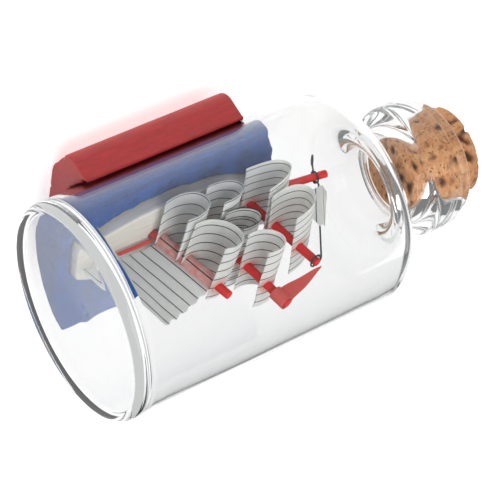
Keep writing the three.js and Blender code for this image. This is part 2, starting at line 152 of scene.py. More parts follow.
class CradleSizes(bpy.types.PropertyGroup):
    edge: size("Edge", "Rounding of the sawn ends, mm", 0.55)
    horn: size("Horn", "Angle from straight down to the top of each side, degrees", 48.0)
    foot_half: size("Foot", "Half width of the flat foot, mm", 8.6)
    chine_half: size("Chine", "Half width at the lower edge, mm", 15.2)
    chine_rise: size("Chine rise", "Height of the lower edge, mm", 2.8)
    waist_rise: size("Waist rise", "Height of the widest place, mm", 7.1)
    paint: colour("Paint", "Brick red enamel", "B22C2C")


class ClaySizes(bpy.types.PropertyGroup):
    swell: size("Swell", "Height of the lumps left by fingers, mm", 0.42)
    clay: colour("Clay", "Fresh clay", "1A55A4")
    deep: colour("Shade", "Darker streaks", "163F7C")
    pressed: colour("Pressed", "Where it is smeared on the glass", "2A5FA2")


class HullSizes(bpy.types.PropertyGroup):
    paint: colour("Paint", "Off-white gesso", "E6E4DE")


class SparSizes(bpy.types.PropertyGroup):
    paint: colour("Paint", "Bright red poster paint", "DE2A2A")


class PaperSizes(bpy.types.PropertyGroup):
    thickness: size("Thickness", "Thickness of the paper, mm", 0.16)
    line: size("Line", "Width of a ruled line, mm", 0.24)
    white: colour("Paper", "White writing paper", "FAFAF8")
    ink: colour("Ink", "Grey ruled lines", "2E2E2E")
    # Painted red glow: pink painted on the paper near a mast, a painted reflection of the red mast's
    # light.
    painted_mast_glow: colour("Painted glow", "Red that shows through near a mast", "F09A92")
    flag: colour("Flag", "Red tissue paper", "F0706A")


class ThreadSizes(bpy.types.PropertyGroup):
    radius: size("Radius", "Radius of the three-strand thread, mm", 0.2)
    thread: colour("Thread", "Dark grey linen", "3C3C40")


class StudioSizes(bpy.types.PropertyGroup):
    key: size("Key", "Power of the large lamp, W", 5.4)
    fill: size("Fill", "Power of the small lamp, W", 1.9)
    sky: size("Sky", "Brightness of the room", 0.26)


GROUPS = {
    "ship_glass": GlassSizes, "ship_cork": CorkSizes, "ship_cradle": CradleSizes,
    "ship_clay": ClaySizes, "ship_hull": HullSizes, "ship_spars": SparSizes,
    "ship_paper": PaperSizes, "ship_thread": ThreadSizes, "ship_studio": StudioSizes,
}


# ---- making pieces ------------------------------------------------------------------------------


def place_piece(piece, body, nodes):
    """Links a finished mesh to the scene, puts it on the body it rides on and hides the CAD parts it
    stands in for.
    """
    bpy.context.scene.collection.objects.link(piece)
    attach(piece, body)
    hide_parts(*nodes)
    return piece


def mesh_of(name, points, faces, material, uv=None, marks=None, to_world=TO_WORLD):
    """A smooth mesh from points in millimetres, with its faces turned outwards."""
    mesh = bpy.data.meshes.new(name)
    world = [to_world @ Vector(p) for p in points]
    volume = 0.0
    for face in faces:
        for a, b in zip(face[1:-1], face[2:]):
            volume += world[face[0]].dot(world[a].cross(world[b]))
    if volume < 0:
        faces = [tuple(reversed(f)) for f in faces]
    mesh.from_pydata(world, [], faces)
    mesh.polygons.foreach_set("use_smooth", [True] * len(faces))
    mesh.materials.append(material)
    if uv is not None:
        layer = mesh.uv_layers.new(name="sheet")
        for loop in mesh.loops:
            layer.data[loop.index].uv = uv[loop.vertex_index]
    for key, values in (marks or {}).items():
        mesh.attributes.new(key, "FLOAT", "POINT").data.foreach_set("value", list(values))
    mesh.validate()
    mesh.update()
    return mesh


def lathe(profile, steps):
    """Points and faces of a profile of (radius, x) turned about X; ends on the axis are closed."""
    points, faces, rings = [], [], []
    for radius, x in profile:
        if radius < 1e-6:
            points.append((x, 0.0, 0.0))
            rings.append([len(points) - 1])
            continue
        start = len(points)
        for i in range(steps):
            angle = 2 * math.pi * i / steps
            points.append((x, radius * math.cos(angle), radius * math.sin(angle)))
        rings.append(list(range(start, start + steps)))
    for low, high in zip(rings, rings[1:]):
        for i in range(steps):
            j = (i + 1) % steps
            if len(low) == 1:
                faces.append((low[0], high[j], high[i]))
            elif len(high) == 1:
                faces.append((low[i], low[j], high[0]))
            else:
                faces.append((low[i], low[j], high[j], high[i]))
    return points, faces


def loft(rings):
    """Points and faces of a solid through rings of equally many points, with flat ends."""
    count = len(rings[0])
    points = [p for ring in rings for p in ring]
    faces = [tuple(reversed(range(count)))]
    for k in range(len(rings) - 1):
        for i in range(count):
            j = (i + 1) % count
            faces.append((k * count + i, k * count + j, (k + 1) * count + j, (k + 1) * count + i))
    faces.append(tuple(range((len(rings) - 1) * count, len(rings) * count)))
    return points, faces


def spaced(line, step, closed=False):
    """A polyline's points set out again at an even distance."""
    line = [Vector(p) for p in line] + ([Vector(line[0])] if closed else [])
    lengths = np.concatenate(([0.0], np.cumsum([(b - a).length for a, b in zip(line, line[1:])])))
    count = max(2, round(lengths[-1] / step))
    marks = np.linspace(0, lengths[-1], count + 1)
    columns = [np.interp(marks, lengths, [p[k] for p in line]) for k in range(len(line[0]))]
    made = [Vector(p) for p in zip(*columns)]
    return made[:-1] if closed else made


def softened(line, rounds, closed=False):
    """A polyline with its corners cut, a quarter from each side, several times."""
    line = [Vector(p) for p in line]
    for _ in range(rounds):
        pairs = list(zip(line, line[1:] + line[:1])) if closed else list(zip(line, line[1:]))
        cut = [q for a, b in pairs for q in (a.lerp(b, 0.25), a.lerp(b, 0.75))]
        line = cut if closed else [line[0], *cut, line[-1]]
    return line


def quarter(centre_r, centre_x, radius_r, radius_x, start, end, steps):
    """Points of an arc of an ellipse, as (radius, x)."""
    angles = np.radians(np.linspace(start, end, steps + 1))
    return [(centre_r + radius_r * math.cos(a), centre_x + radius_x * math.sin(a)) for a in angles]


def bezier(points, count):
    """Points on one cubic curve, both ends included."""
    p = np.array([tuple(q) for q in points], float)
    t = np.linspace(0, 1, count)[:, None]
    s = 1 - t
    return s**3 * p[0] + 3 * s * s * t * p[1] + 3 * s * t * t * p[2] + t**3 * p[3]


def lumps(point, pitch, offset=0.0):
    """Smooth noise from -1 to 1 whose lumps are about one pitch apart, in millimetres."""
    p = Vector(point)
    return noise.noise((p / pitch) + Vector((offset, 3.1 * offset, 7.7)))


def paper_shell(grid, uv, thickness, marks=None):
    """A grid of middle points as a closed sheet: points, faces, their UVs and their marks."""
    grid = np.array(grid, float)
    rows, columns = grid.shape[:2]
    down = np.gradient(grid, axis=0)
    right = np.gradient(grid, axis=1)
    normal = np.cross(down, right)
    normal /= np.maximum(np.linalg.norm(normal, axis=2, keepdims=True), 1e-9)
    front, back = grid + normal * thickness / 2, grid - normal * thickness / 2
    count = rows * columns
    points = list(front.reshape(-1, 3)) + list(back.reshape(-1, 3))
    faces = []

    def at(i, j, side):
        return side * count + i * columns + j

    for i in range(rows - 1):
        for j in range(columns - 1):
            faces.append((at(i, j, 0), at(i + 1, j, 0), at(i + 1, j + 1, 0), at(i, j + 1, 0)))
            faces.append((at(i, j, 1), at(i, j + 1, 1), at(i + 1, j + 1, 1), at(i + 1, j, 1)))
    rim = [(i, 0) for i in range(rows)] + [(rows - 1, j) for j in range(1, columns)]
    rim += [(i, columns - 1) for i in range(rows - 2, -1, -1)]
    rim += [(0, j) for j in range(columns - 2, 0, -1)]
    for (a, b), (c, d) in zip(rim, rim[1:] + rim[:1]):
        faces.append((at(c, d, 0), at(a, b, 0), at(a, b, 1), at(c, d, 1)))
    flat = [tuple(q) for q in np.array(uv, float).reshape(-1, 2)]
    doubled = {k: list(np.ravel(v)) * 2 for k, v in (marks or {}).items()}
    return points, faces, flat * 2, doubled


# ---- shader and geometry nodes ------------------------------------------------------------------


def add(tree, kind, inputs=None, **settings):
    """Adds a node with its settings; an input is given a value or is linked to a socket."""
    made = tree.nodes.new(kind)
    for key, value in settings.items():
        setattr(made, key, value)
    for key, value in (inputs or {}).items():
        if isinstance(value, bpy.types.NodeSocket):
            tree.links.new(value, made.inputs[key])
        else:
            made.inputs[key].default_value = value
    return made


def new_material(name):
    material = bpy.data.materials.new(name)
    material.use_nodes = True
    material.node_tree.nodes.clear()
    return material, material.node_tree


def per_mm(pitch):
    """The scale of a noise pattern whose grains are one pitch across, in millimetres."""
    return 1 / (pitch * MM)


def rgba(value):
    return (*value, 1.0)


def blown_glass(sizes):
    """Soda-lime glass, blown in a mould: clear and neutral, with a faint
    unevenness that bends reflections. Lamps shine through its walls without bending, and light that
    has bounced about inside the wall for long leaves it straight."""
    material, tree = new_material("soda_lime_glass_blown")
    place = add(tree, "ShaderNodeTexCoord")
    slow = add(tree, "ShaderNodeTexNoise", {"Vector": place.outputs["Object"],
               "Scale": per_mm(9), "Detail": 1.0, "Roughness": 0.4})
    bump = add(tree, "ShaderNodeBump", {"Height": slow.outputs["Fac"], "Strength": 0.06,
               "Distance": 0.3 * MM})
    glass = add(tree, "ShaderNodeBsdfPrincipled", {"Base Color": rgba(sizes.tint),
                "Roughness": 0.0, "IOR": 1.45, "Transmission Weight": 1.0,
                "Specular Tint": rgba((0.45, 0.45, 0.45)),
                "Normal": bump.outputs["Normal"]})
    clear = add(tree, "ShaderNodeBsdfTransparent", {"Color": linear("F6F8F7")})
    path = add(tree, "ShaderNodeLightPath")
    longest = 5.5  # bounces after which light counts as trapped in the wall
    trapped = add(tree, "ShaderNodeMath", {0: path.outputs["Ray Depth"], 1: longest},
                  operation="GREATER_THAN")
    straight = add(tree, "ShaderNodeMath", {0: path.outputs["Is Shadow Ray"],
                   1: trapped.outputs[0]}, operation="MAXIMUM")
    mix = add(tree, "ShaderNodeMixShader", {0: straight.outputs[0],
              1: glass.outputs["BSDF"], 2: clear.outputs["BSDF"]})
    add(tree, "ShaderNodeOutputMaterial", {"Surface": mix.outputs["Shader"]})
    return material


def cut_cork(sizes):
    """Natural cork, cut and sanded: matt, with pale grains, brown bark and dark pores."""
    material, tree = new_material("natural_cork_cut")
    place = add(tree, "ShaderNodeTexCoord").outputs["Object"]
    drawn = add(tree, "ShaderNodeMapping", {"Vector": place, "Scale": (1.0, 0.55, 1.0)})
    grain = add(tree, "ShaderNodeTexNoise", {"Vector": drawn.outputs["Vector"],
                "Scale": per_mm(1.6), "Detail": 6.0, "Roughness": 0.65, "Distortion": 0.6})
    tone = add(tree, "ShaderNodeMapRange", {"Value": grain.outputs["Fac"], "From Min": 0.36,
               "From Max": 0.62})
    bark = add(tree, "ShaderNodeMix", {0: tone.outputs["Result"], 6: rgba(sizes.middle),
               7: rgba(sizes.light)}, data_type="RGBA")
    pores = add(tree, "ShaderNodeTexNoise", {"Vector": drawn.outputs["Vector"],
                "Scale": per_mm(0.55), "Detail": 3.0, "Roughness": 0.6, "Distortion": 1.1})
    hole = add(tree, "ShaderNodeMapRange", {"Value": pores.outputs["Fac"], "From Min": 0.43,
               "From Max": 0.30}, interpolation_type="SMOOTHSTEP")
    pit = add(tree, "ShaderNodeAttribute", attribute_name="pit")
    both = add(tree, "ShaderNodeMath", {0: hole.outputs["Result"], 1: pit.outputs["Fac"]},
               operation="MAXIMUM")
    paint = add(tree, "ShaderNodeMix", {0: both.outputs["Value"], 6: bark.outputs[2],
                7: rgba(sizes.dark)}, data_type="RGBA")
    fine = add(tree, "ShaderNodeTexNoise", {"Vector": place, "Scale": per_mm(0.35), "Detail": 4.0})
    height = add(tree, "ShaderNodeMath", {0: fine.outputs["Fac"], 1: both.outputs["Value"]},
                 operation="SUBTRACT")
    bump = add(tree, "ShaderNodeBump", {"Height": height.outputs["Value"], "Strength": 0.7,
               "Distance": 0.25 * MM})
    shader = add(tree, "ShaderNodeBsdfPrincipled", {"Base Color": paint.outputs[2],
                 "Roughness": 0.88, "Normal": bump.outputs["Normal"]})
    add(tree, "ShaderNodeOutputMaterial", {"Surface": shader.outputs["BSDF"]})
    return material


def brushed_enamel(name, paint, gloss, grain_mm, worn):
    """Enamel brushed on sanded wood: half gloss, with light specks of grain and darker brush marks."""
    material, tree = new_material(name)
    place = add(tree, "ShaderNodeTexCoord").outputs["Object"]
    long = add(tree, "ShaderNodeMapping", {"Vector": place, "Scale": (0.22, 1.0, 1.0)})
    marks = add(tree, "ShaderNodeTexNoise", {"Vector": long.outputs["Vector"],
                "Scale": per_mm(grain_mm * 2.5), "Detail": 5.0, "Roughness": 0.6})
    specks = add(tree, "ShaderNodeTexNoise", {"Vector": place, "Scale": per_mm(grain_mm),
                 "Detail": 3.0, "Roughness": 0.7})
    tone = add(tree, "ShaderNodeMapRange", {"Value": marks.outputs["Fac"], "From Min": 0.3,
               "From Max": 0.7, "To Min": 0.78, "To Max": 1.14})
    dark = add(tree, "ShaderNodeHueSaturation", {"Value": tone.outputs["Result"],
               "Color": rgba(paint)})
    light = add(tree, "ShaderNodeMapRange", {"Value": specks.outputs["Fac"], "From Min": 0.66,
                "From Max": 0.76, "To Max": worn}, interpolation_type="SMOOTHSTEP")
    paint_colour = add(tree, "ShaderNodeMix", {0: light.outputs["Result"], 6: dark.outputs["Color"],
                       7: linear("E0A898")}, data_type="RGBA")
    both = add(tree, "ShaderNodeMath", {0: specks.outputs["Fac"], 1: marks.outputs["Fac"]},
               operation="ADD")
    bump = add(tree, "ShaderNodeBump", {"Height": both.outputs["Value"], "Strength": 0.35,
               "Distance": 0.08 * MM})
    rough = add(tree, "ShaderNodeMapRange", {"Value": marks.outputs["Fac"], "To Min": gloss - 0.08,
                "To Max": gloss + 0.12})
    shader = add(tree, "ShaderNodeBsdfPrincipled", {"Base Color": paint_colour.outputs[2],
                 "Roughness": rough.outputs["Result"], "IOR": 1.5,
                 "Normal": bump.outputs["Normal"]})
    add(tree, "ShaderNodeOutputMaterial", {"Surface": shader.outputs["BSDF"]})
    return material


def modelling_clay(sizes):
    """Modelling clay, pressed by hand: matt, streaked where it was kneaded, with pale crumbs, and
    a little lighter where it is smeared on the glass."""
    material, tree = new_material("modelling_clay_pressed")
    place = add(tree, "ShaderNodeTexCoord").outputs["Object"]
    knead = add(tree, "ShaderNodeTexNoise", {"Vector": place, "Scale": per_mm(4.5), "Detail": 5.0,
                "Roughness": 0.6, "Distortion": 0.8})
    tone = add(tree, "ShaderNodeMapRange", {"Value": knead.outputs["Fac"], "From Min": 0.34,
               "From Max": 0.66})
    body = add(tree, "ShaderNodeMix", {0: tone.outputs["Result"], 6: rgba(sizes.deep),
               7: rgba(sizes.clay)}, data_type="RGBA")
    press = add(tree, "ShaderNodeAttribute", attribute_name="pressed")
    patch = add(tree, "ShaderNodeTexNoise", {"Vector": place, "Scale": per_mm(2.2), "Detail": 4.0,
                "Roughness": 0.7})
    smear = add(tree, "ShaderNodeMath", {0: press.outputs["Fac"], 1: patch.outputs["Fac"]},
                operation="MULTIPLY")
    grey = add(tree, "ShaderNodeMix", {0: smear.outputs["Value"], 6: body.outputs[2],
               7: rgba(sizes.pressed)}, data_type="RGBA")
    crumb = add(tree, "ShaderNodeTexVoronoi", {"Vector": place, "Scale": per_mm(1.9),
                "Randomness": 1.0})
    fleck = add(tree, "ShaderNodeMapRange", {"Value": crumb.outputs["Distance"], "From Min": 0.10,
                "From Max": 0.05, "To Max": 0.5}, interpolation_type="SMOOTHSTEP")
    flecked = add(tree, "ShaderNodeMix", {0: fleck.outputs["Result"], 6: grey.outputs[2],
                  7: linear("B9CBDD")}, data_type="RGBA")
    fine = add(tree, "ShaderNodeTexNoise", {"Vector": place, "Scale": per_mm(0.7), "Detail": 6.0,
               "Roughness": 0.7})
    bump = add(tree, "ShaderNodeBump", {"Height": fine.outputs["Fac"], "Strength": 0.5,
               "Distance": 0.2 * MM})
    shader = add(tree, "ShaderNodeBsdfPrincipled", {"Base Color": flecked.outputs[2],
                 "Roughness": 0.7, "IOR": 1.46, "Normal": bump.outputs["Normal"]})
    add(tree, "ShaderNodeOutputMaterial", {"Surface": shader.outputs["BSDF"]})
    return material


def gesso(sizes):
    """Pine carved and coated with gesso: smooth, half gloss, with faint grain lines along it."""
    material, tree = new_material("pine_with_gesso")
    place = add(tree, "ShaderNodeTexCoord").outputs["Object"]
    long = add(tree, "ShaderNodeMapping", {"Vector": place, "Scale": (0.12, 1.0, 1.0)})
    grain = add(tree, "ShaderNodeTexNoise", {"Vector": long.outputs["Vector"],
                "Scale": per_mm(1.4), "Detail": 4.0})
    tone = add(tree, "ShaderNodeMapRange", {"Value": grain.outputs["Fac"], "From Min": 0.3,
               "From Max": 0.7})
    paint = add(tree, "ShaderNodeMix", {0: tone.outputs["Result"], 6: linear("D2CCBE"),
                7: rgba(sizes.paint)}, data_type="RGBA")
    bump = add(tree, "ShaderNodeBump", {"Height": grain.outputs["Fac"], "Strength": 0.3,
               "Distance": 0.12 * MM})
    shader = add(tree, "ShaderNodeBsdfPrincipled", {"Base Color": paint.outputs[2],
                 "Roughness": 0.34, "IOR": 1.5, "Normal": bump.outputs["Normal"]})
    add(tree, "ShaderNodeOutputMaterial", {"Surface": shader.outputs["BSDF"]})
    return material


def ruled_paper(name, sizes, pitch, offset=0.5, pair=0.0):
    """Thin writing paper with grey ruled lines: matt, lets some light through, with short fibres,
    and a painted red glow near a mast that stands in for the mast's red light reflected on it.
    The sheet's UVs are in millimetres across the lines and along them."""
    material, tree = new_material(name)
    flat = add(tree, "ShaderNodeUVMap", uv_map="sheet")
    parts = add(tree, "ShaderNodeSeparateXYZ", {"Vector": flat.outputs["UV"]})
    wander = add(tree, "ShaderNodeTexNoise", {"Vector": flat.outputs["UV"], "Scale": 0.35})
    across = add(tree, "ShaderNodeMath", {0: wander.outputs["Fac"], 1: 0.16,
                 2: parts.outputs["X"]}, operation="MULTIPLY_ADD")
    row = add(tree, "ShaderNodeMath", {0: across.outputs["Value"], 1: 1 / pitch, 2: offset},
              operation="MULTIPLY_ADD")
    near = None
    for shift in ((0.0, pair / pitch) if pair else (0.0,)):
        moved = add(tree, "ShaderNodeMath", {0: row.outputs["Value"], 1: shift}, operation="ADD")
        share = add(tree, "ShaderNodeMath", {0: moved.outputs["Value"]}, operation="FRACT")
        centred = add(tree, "ShaderNodeMath", {0: share.outputs["Value"], 1: 0.5},
                      operation="SUBTRACT")
        off = add(tree, "ShaderNodeMath", {0: centred.outputs["Value"]}, operation="ABSOLUTE")
        if near is None:
            near = off
        else:
            near = add(tree, "ShaderNodeMath", {0: near.outputs["Value"], 1: off.outputs["Value"]},
                       operation="MINIMUM")
    half = sizes.line / 2 / pitch
    line = add(tree, "ShaderNodeMapRange", {"Value": near.outputs["Value"],
               "From Min": half * 1.25, "From Max": half * 0.75, "To Max": 0.93},
               interpolation_type="SMOOTHSTEP")
    place = add(tree, "ShaderNodeTexCoord").outputs["Object"]
    cloud = add(tree, "ShaderNodeTexNoise", {"Vector": place, "Scale": per_mm(1.4), "Detail": 4.0})
    # Painted red glow: near a mast the paper is tinted pink in cloudy patches, a painted reflection of
    # the red mast's light.
    red = add(tree, "ShaderNodeAttribute", attribute_name="painted_mast_glow")
    painted_glow_share = add(tree, "ShaderNodeMath", {0: red.outputs["Fac"], 1: cloud.outputs["Fac"]},
               operation="MULTIPLY")
    shade = add(tree, "ShaderNodeMapRange", {"Value": cloud.outputs["Fac"], "To Min": 0.93,
                "To Max": 1.03})
    sheet = add(tree, "ShaderNodeHueSaturation", {"Value": shade.outputs["Result"],
                "Color": rgba(sizes.white)})
    glow_painted = add(tree, "ShaderNodeMix", {0: painted_glow_share.outputs["Value"], 6: sheet.outputs["Color"],
                  7: rgba(sizes.painted_mast_glow)}, data_type="RGBA")
    paper = add(tree, "ShaderNodeMix", {0: line.outputs["Result"], 6: glow_painted.outputs[2],
                7: rgba(sizes.ink)}, data_type="RGBA")
    fibre = add(tree, "ShaderNodeTexNoise", {"Vector": place, "Scale": per_mm(0.25),
                "Detail": 4.0})
    bump = add(tree, "ShaderNodeBump", {"Height": fibre.outputs["Fac"], "Strength": 0.25,
               "Distance": 0.05 * MM})
    front = add(tree, "ShaderNodeBsdfPrincipled", {"Base Color": paper.outputs[2],
                "Roughness": 0.8, "IOR": 1.45, "Normal": bump.outputs["Normal"]})
    through = add(tree, "ShaderNodeBsdfTranslucent", {"Color": paper.outputs[2]})
    both = add(tree, "ShaderNodeMixShader", {0: 0.48, 1: front.outputs["BSDF"],
               2: through.outputs["BSDF"]})
    add(tree, "ShaderNodeOutputMaterial", {"Surface": both.outputs["Shader"]})
    return material


def tissue_paper(sizes):
    """Dyed tissue paper: matt, uneven in colour, with light showing through."""
    material, tree = new_material("red_tissue_paper_dyed")
    place = add(tree, "ShaderNodeTexCoord").outputs["Object"]
    cloud = add(tree, "ShaderNodeTexNoise", {"Vector": place, "Scale": per_mm(1.1), "Detail": 5.0})
    dye = add(tree, "ShaderNodeMix", {0: cloud.outputs["Fac"], 6: rgba(sizes.flag),
              7: linear("F0837A")}, data_type="RGBA")
    bump = add(tree, "ShaderNodeBump", {"Height": cloud.outputs["Fac"], "Strength": 0.4,
               "Distance": 0.12 * MM})
    front = add(tree, "ShaderNodeBsdfPrincipled", {"Base Color": dye.outputs[2],
                "Roughness": 0.85, "Normal": bump.outputs["Normal"]})
    through = add(tree, "ShaderNodeBsdfTranslucent", {"Color": dye.outputs[2]})
    both = add(tree, "ShaderNodeMixShader", {0: 0.4, 1: front.outputs["BSDF"],
               2: through.outputs["BSDF"]})
    add(tree, "ShaderNodeOutputMaterial", {"Surface": both.outputs["Shader"]})
    return material


def linen_thread(sizes):
    """Waxed linen thread, three strands twisted: dark grey with a dull sheen and loose fibres."""
    material, tree = new_material("linen_thread_waxed")
    place = add(tree, "ShaderNodeTexCoord").outputs["Object"]
    fibre = add(tree, "ShaderNodeTexNoise", {"Vector": place, "Scale": per_mm(0.18),
                "Detail": 3.0})
    tone = add(tree, "ShaderNodeMapRange", {"Value": fibre.outputs["Fac"], "To Min": 0.7,
               "To Max": 1.5})
    dye = add(tree, "ShaderNodeHueSaturation", {"Value": tone.outputs["Result"],
              "Color": rgba(sizes.thread)})
    bump = add(tree, "ShaderNodeBump", {"Height": fibre.outputs["Fac"], "Strength": 0.4,
               "Distance": 0.04 * MM})
    shader = add(tree, "ShaderNodeBsdfPrincipled", {"Base Color": dye.outputs["Color"],
                 "Roughness": 0.6, "Normal": bump.outputs["Normal"]})
    add(tree, "ShaderNodeOutputMaterial", {"Surface": shader.outputs["BSDF"]})
    return material


# ---- bottle, cork and cradle --------------------------------------------------------------------


def shoulder_line(body_radius, neck_radius, start, length, steps):
    """The S curve from the body to the neck, as (radius, x)."""
    drop, lower = body_radius - neck_radius, 0.6
    round_part = quarter(body_radius - drop * lower, start, drop * lower, length * lower, 0, 90,
                         steps)
    hollow = quarter(neck_radius + drop * (1 - lower), start + length, drop * (1 - lower),
                     length * (1 - lower), 270, 180, steps)
    return round_part[:-1] + hollow


class SHIP_OT_glass(bpy.types.Operator):
    """Turns the bottle: one wall of even glass with a thick base, a push-up and a rolled lip"""

    bl_idname = "ship.glass"
    bl_label = "Bottle"

    def execute(self, context):
        s = context.scene.ship_glass
        neck_start = s.body + s.shoulder
        lip_start = neck_start + s.neck
        rim_start = MOUTH - s.rim_length
        lip_round, soft = 1.6, 0.9
        hollow = s.foot_radius - s.foot_width
        outer = [(0, s.push_up), (hollow / 2, s.push_up * 0.8), (hollow, 0.0)]
        outer += quarter(s.foot_radius, s.heel, RADIUS - s.foot_radius, s.heel, -90, 0, 14)
        outer += shoulder_line(RADIUS, s.neck_radius, s.body, s.shoulder, 14)
        outer += [(s.neck_radius, lip_start - 1)]
        outer += quarter(s.lip_radius - lip_round, lip_start + lip_round, lip_round, lip_round,
                         -60, 0, 5)
        outer += quarter(s.lip_radius - soft, rim_start - soft, soft, soft, 0, 75, 5)
        outer += [(s.rim_radius - 0.3, rim_start + 0.15)]
        outer += quarter(s.rim_radius - soft, rim_start + 0.4 + soft, soft, soft, -45, 0, 4)
        outer += quarter(s.rim_radius - lip_round, MOUTH - lip_round, lip_round, lip_round,
                         0, 90, 7)
        inside = RADIUS - s.wall
        inner = [(s.bore + s.flare + 0.5, MOUTH), (s.bore + s.flare, MOUTH - 0.7),
                 (s.bore, MOUTH - 12.5), (s.bore, neck_start)]
        inner += shoulder_line(inside, s.bore, s.body - 0.4, s.shoulder, 14)[::-1][1:]
        inner += quarter(inside - s.inner_heel, s.base + s.inner_heel, s.inner_heel,
                         s.inner_heel, 0, -90, 14)
        inner += [(0, s.base + s.push_up)]
        outer, inner = softened(outer, 2), softened(inner, 2)
        outer_count = len(lathe([tuple(p) for p in outer], 160)[0])
        points, faces = lathe([tuple(p) for p in outer + inner], 160)
        uneven = []
        for i, p in enumerate(points):
            on_outside = i < outer_count
            depth = 0.025 if on_outside else 0.055
            ring = max(math.hypot(p[1], p[2]), 1)
            dent = depth * (1 - lumps(p, 11, 2.0 if on_outside else 9.0))
            grow = 1 - dent / ring if on_outside else 1 + dent / ring
            uneven.append((p[0], p[1] * grow, p[2] * grow))
        mesh = mesh_of("glass_bottle", uneven, faces, blown_glass(s))
        place_piece(bpy.data.objects.new("glass_bottle", mesh), "bottle", ["bottle"])
        return {"FINISHED"}


class SHIP_OT_cork(bpy.types.Operator):
    """Cuts the tapered cork and wears pits and torn grains into it"""

    bl_idname = "ship.cork"
    bl_label = "Cork"

    def execute(self, context):
        s = context.scene.ship_cork
        low, high = box_mm("cork")
        wide = high.y
        narrow = context.scene.ship_glass.bore - 0.3
        c = s.chamfer
        line = [(0, low.x), (narrow - c, low.x), (narrow, low.x + c), (wide, high.x - c),
                (wide - c, high.x), (0, high.x)]
        profile = [(0, low.x)] + [tuple(p) for p in spaced(softened(line, 2), 0.26)[1:-1]]
        points, faces = lathe(profile + [(0, high.x)], 230)
        middle = Vector(((low.x + high.x) / 2, 0, 0))
        worn, pits = [], []
        for p in points:
            v = Vector(p)
            stretched = Vector((v.x, v.y * 0.6, v.z))
            deep = max(0.0, lumps(stretched, 1.9, 4.0) - 0.18) * 1.5
            deep += max(0.0, lumps(stretched, 0.9, 8.0) - 0.30) * 0.8
            broad = 0.25 * (1 + lumps(v, 3.5, 1.0)) / 2
            sunk = s.pit * min(deep, 1.0) + broad * 0.5
            inward = (middle - v)
            inward.x *= 0.35 if abs(v.x - middle.x) < (high.x - low.x) / 2 - 0.4 else 1.0
            worn.append(v + inward.normalized() * sunk)
            pits.append(min(1.0, deep * 1.6))
        mesh = mesh_of("cork_stopper", worn, faces, cut_cork(s), marks={"pit": pits})
        place_piece(bpy.data.objects.new("cork_stopper", mesh), "cork", ["cork"])
        return {"FINISHED"}


class SHIP_OT_cradle(bpy.types.Operator):
    """Saws the wooden cradle to its outline, rounds its ends and chips their edges"""

    bl_idname = "ship.cradle"
    bl_label = "Cradle"

    def execute(self, context):
        s = context.scene.ship_cradle
        low, high = box_mm("stand")
        bottom, waist = low.z, high.y
        seat = RADIUS + 0.3
        horn = math.radians(s.horn - 90)
        half = [(0, bottom), (s.foot_half, bottom)]
        half += bezier([(s.foot_half, bottom), (s.foot_half + 1.3, bottom),
                        (s.foot_half + 2.3, bottom + 0.3), (s.foot_half + 3, bottom + 0.9)],
                       6)[1:].tolist()
        half += [(s.chine_half, bottom + s.chine_rise)]
        half += bezier([(s.chine_half, bottom + s.chine_rise),
                        (waist - 1.2, bottom + s.chine_rise + 1.1),
                        (waist, bottom + s.chine_rise + 2.4), (waist, bottom + s.waist_rise)],
                       10)[1:].tolist()
        half += [(seat * math.cos(horn), seat * math.sin(horn))]
        arc = np.linspace(horn, -math.pi / 2, 50)[1:]
        half += [(seat * math.cos(a), seat * math.sin(a)) for a in arc]
        loop = half + [(-y, z) for y, z in half[-2:0:-1]]
        loop = spaced(softened(spaced(loop, 0.5, closed=True), 2, closed=True), 0.5, closed=True)
        count = len(loop)
        inward = []
        for i in range(count):
            along = loop[(i + 1) % count] - loop[i - 1]
            inward.append(Vector((-along.y, along.x)).normalized())
        middle = loop[0] + inward[0] * 0.5
        if middle.y < bottom:
            inward = [-n for n in inward]
        # Thin places, such as the tops of the two sides, are worn back less, so they stay whole.
        share = 0.35  # of the wood's thickness there
        deepest = [share * min((p - q).length for q, m in zip(loop, inward) if n.dot(m) < -0.3)
                   for p, n in zip(loop, inward)]
        length = high.x - low.x
        angles = np.linspace(0, math.pi / 2, 5)
        ends = [(s.edge * (1 - math.sin(a)), s.edge * (1 - math.cos(a))) for a in angles]
        stations = [(low.x + x, inset) for inset, x in ends]
        steps = round(length / 0.5)
        stations += [(low.x + s.edge + (length - 2 * s.edge) * k / steps, 0.0)
                     for k in range(1, steps)]
        stations += [(high.x - x, inset) for inset, x in reversed(ends)]
        rings = []
        for x, inset in stations:
            ring = []
            near_end = max(0.0, 1 - min(x - low.x, high.x - x) / 1.1)
            for p, n, most in zip(loop, inward, deepest):
                chip = near_end * max(0.0, lumps((x * 0.7, p.x, p.y), 1.5, 5.0) - 0.2) * 1.5
                ripple = 0.02 * (1 + lumps((x, p.x, p.y), 2.5, 3.0))
                worn = min(inset + chip, most)
                q = p + n * (worn + ripple)
                if p.y < bottom + 0.02:
                    q.y = max(p.y, bottom) + worn
                ring.append((x, q.x, q.y))
            rings.append(ring)
        points, faces = loft(rings)
        paint = brushed_enamel("brick_red_enamel_on_wood", s.paint, 0.5, 0.32, 0.35)
        mesh = mesh_of("cradle_block", points, faces, paint)
        place_piece(bpy.data.objects.new("cradle_block", mesh), "bottle",
                    ["stand"])
        return {"FINISHED"}


# ---- sea and hull -------------------------------------------------------------------------------


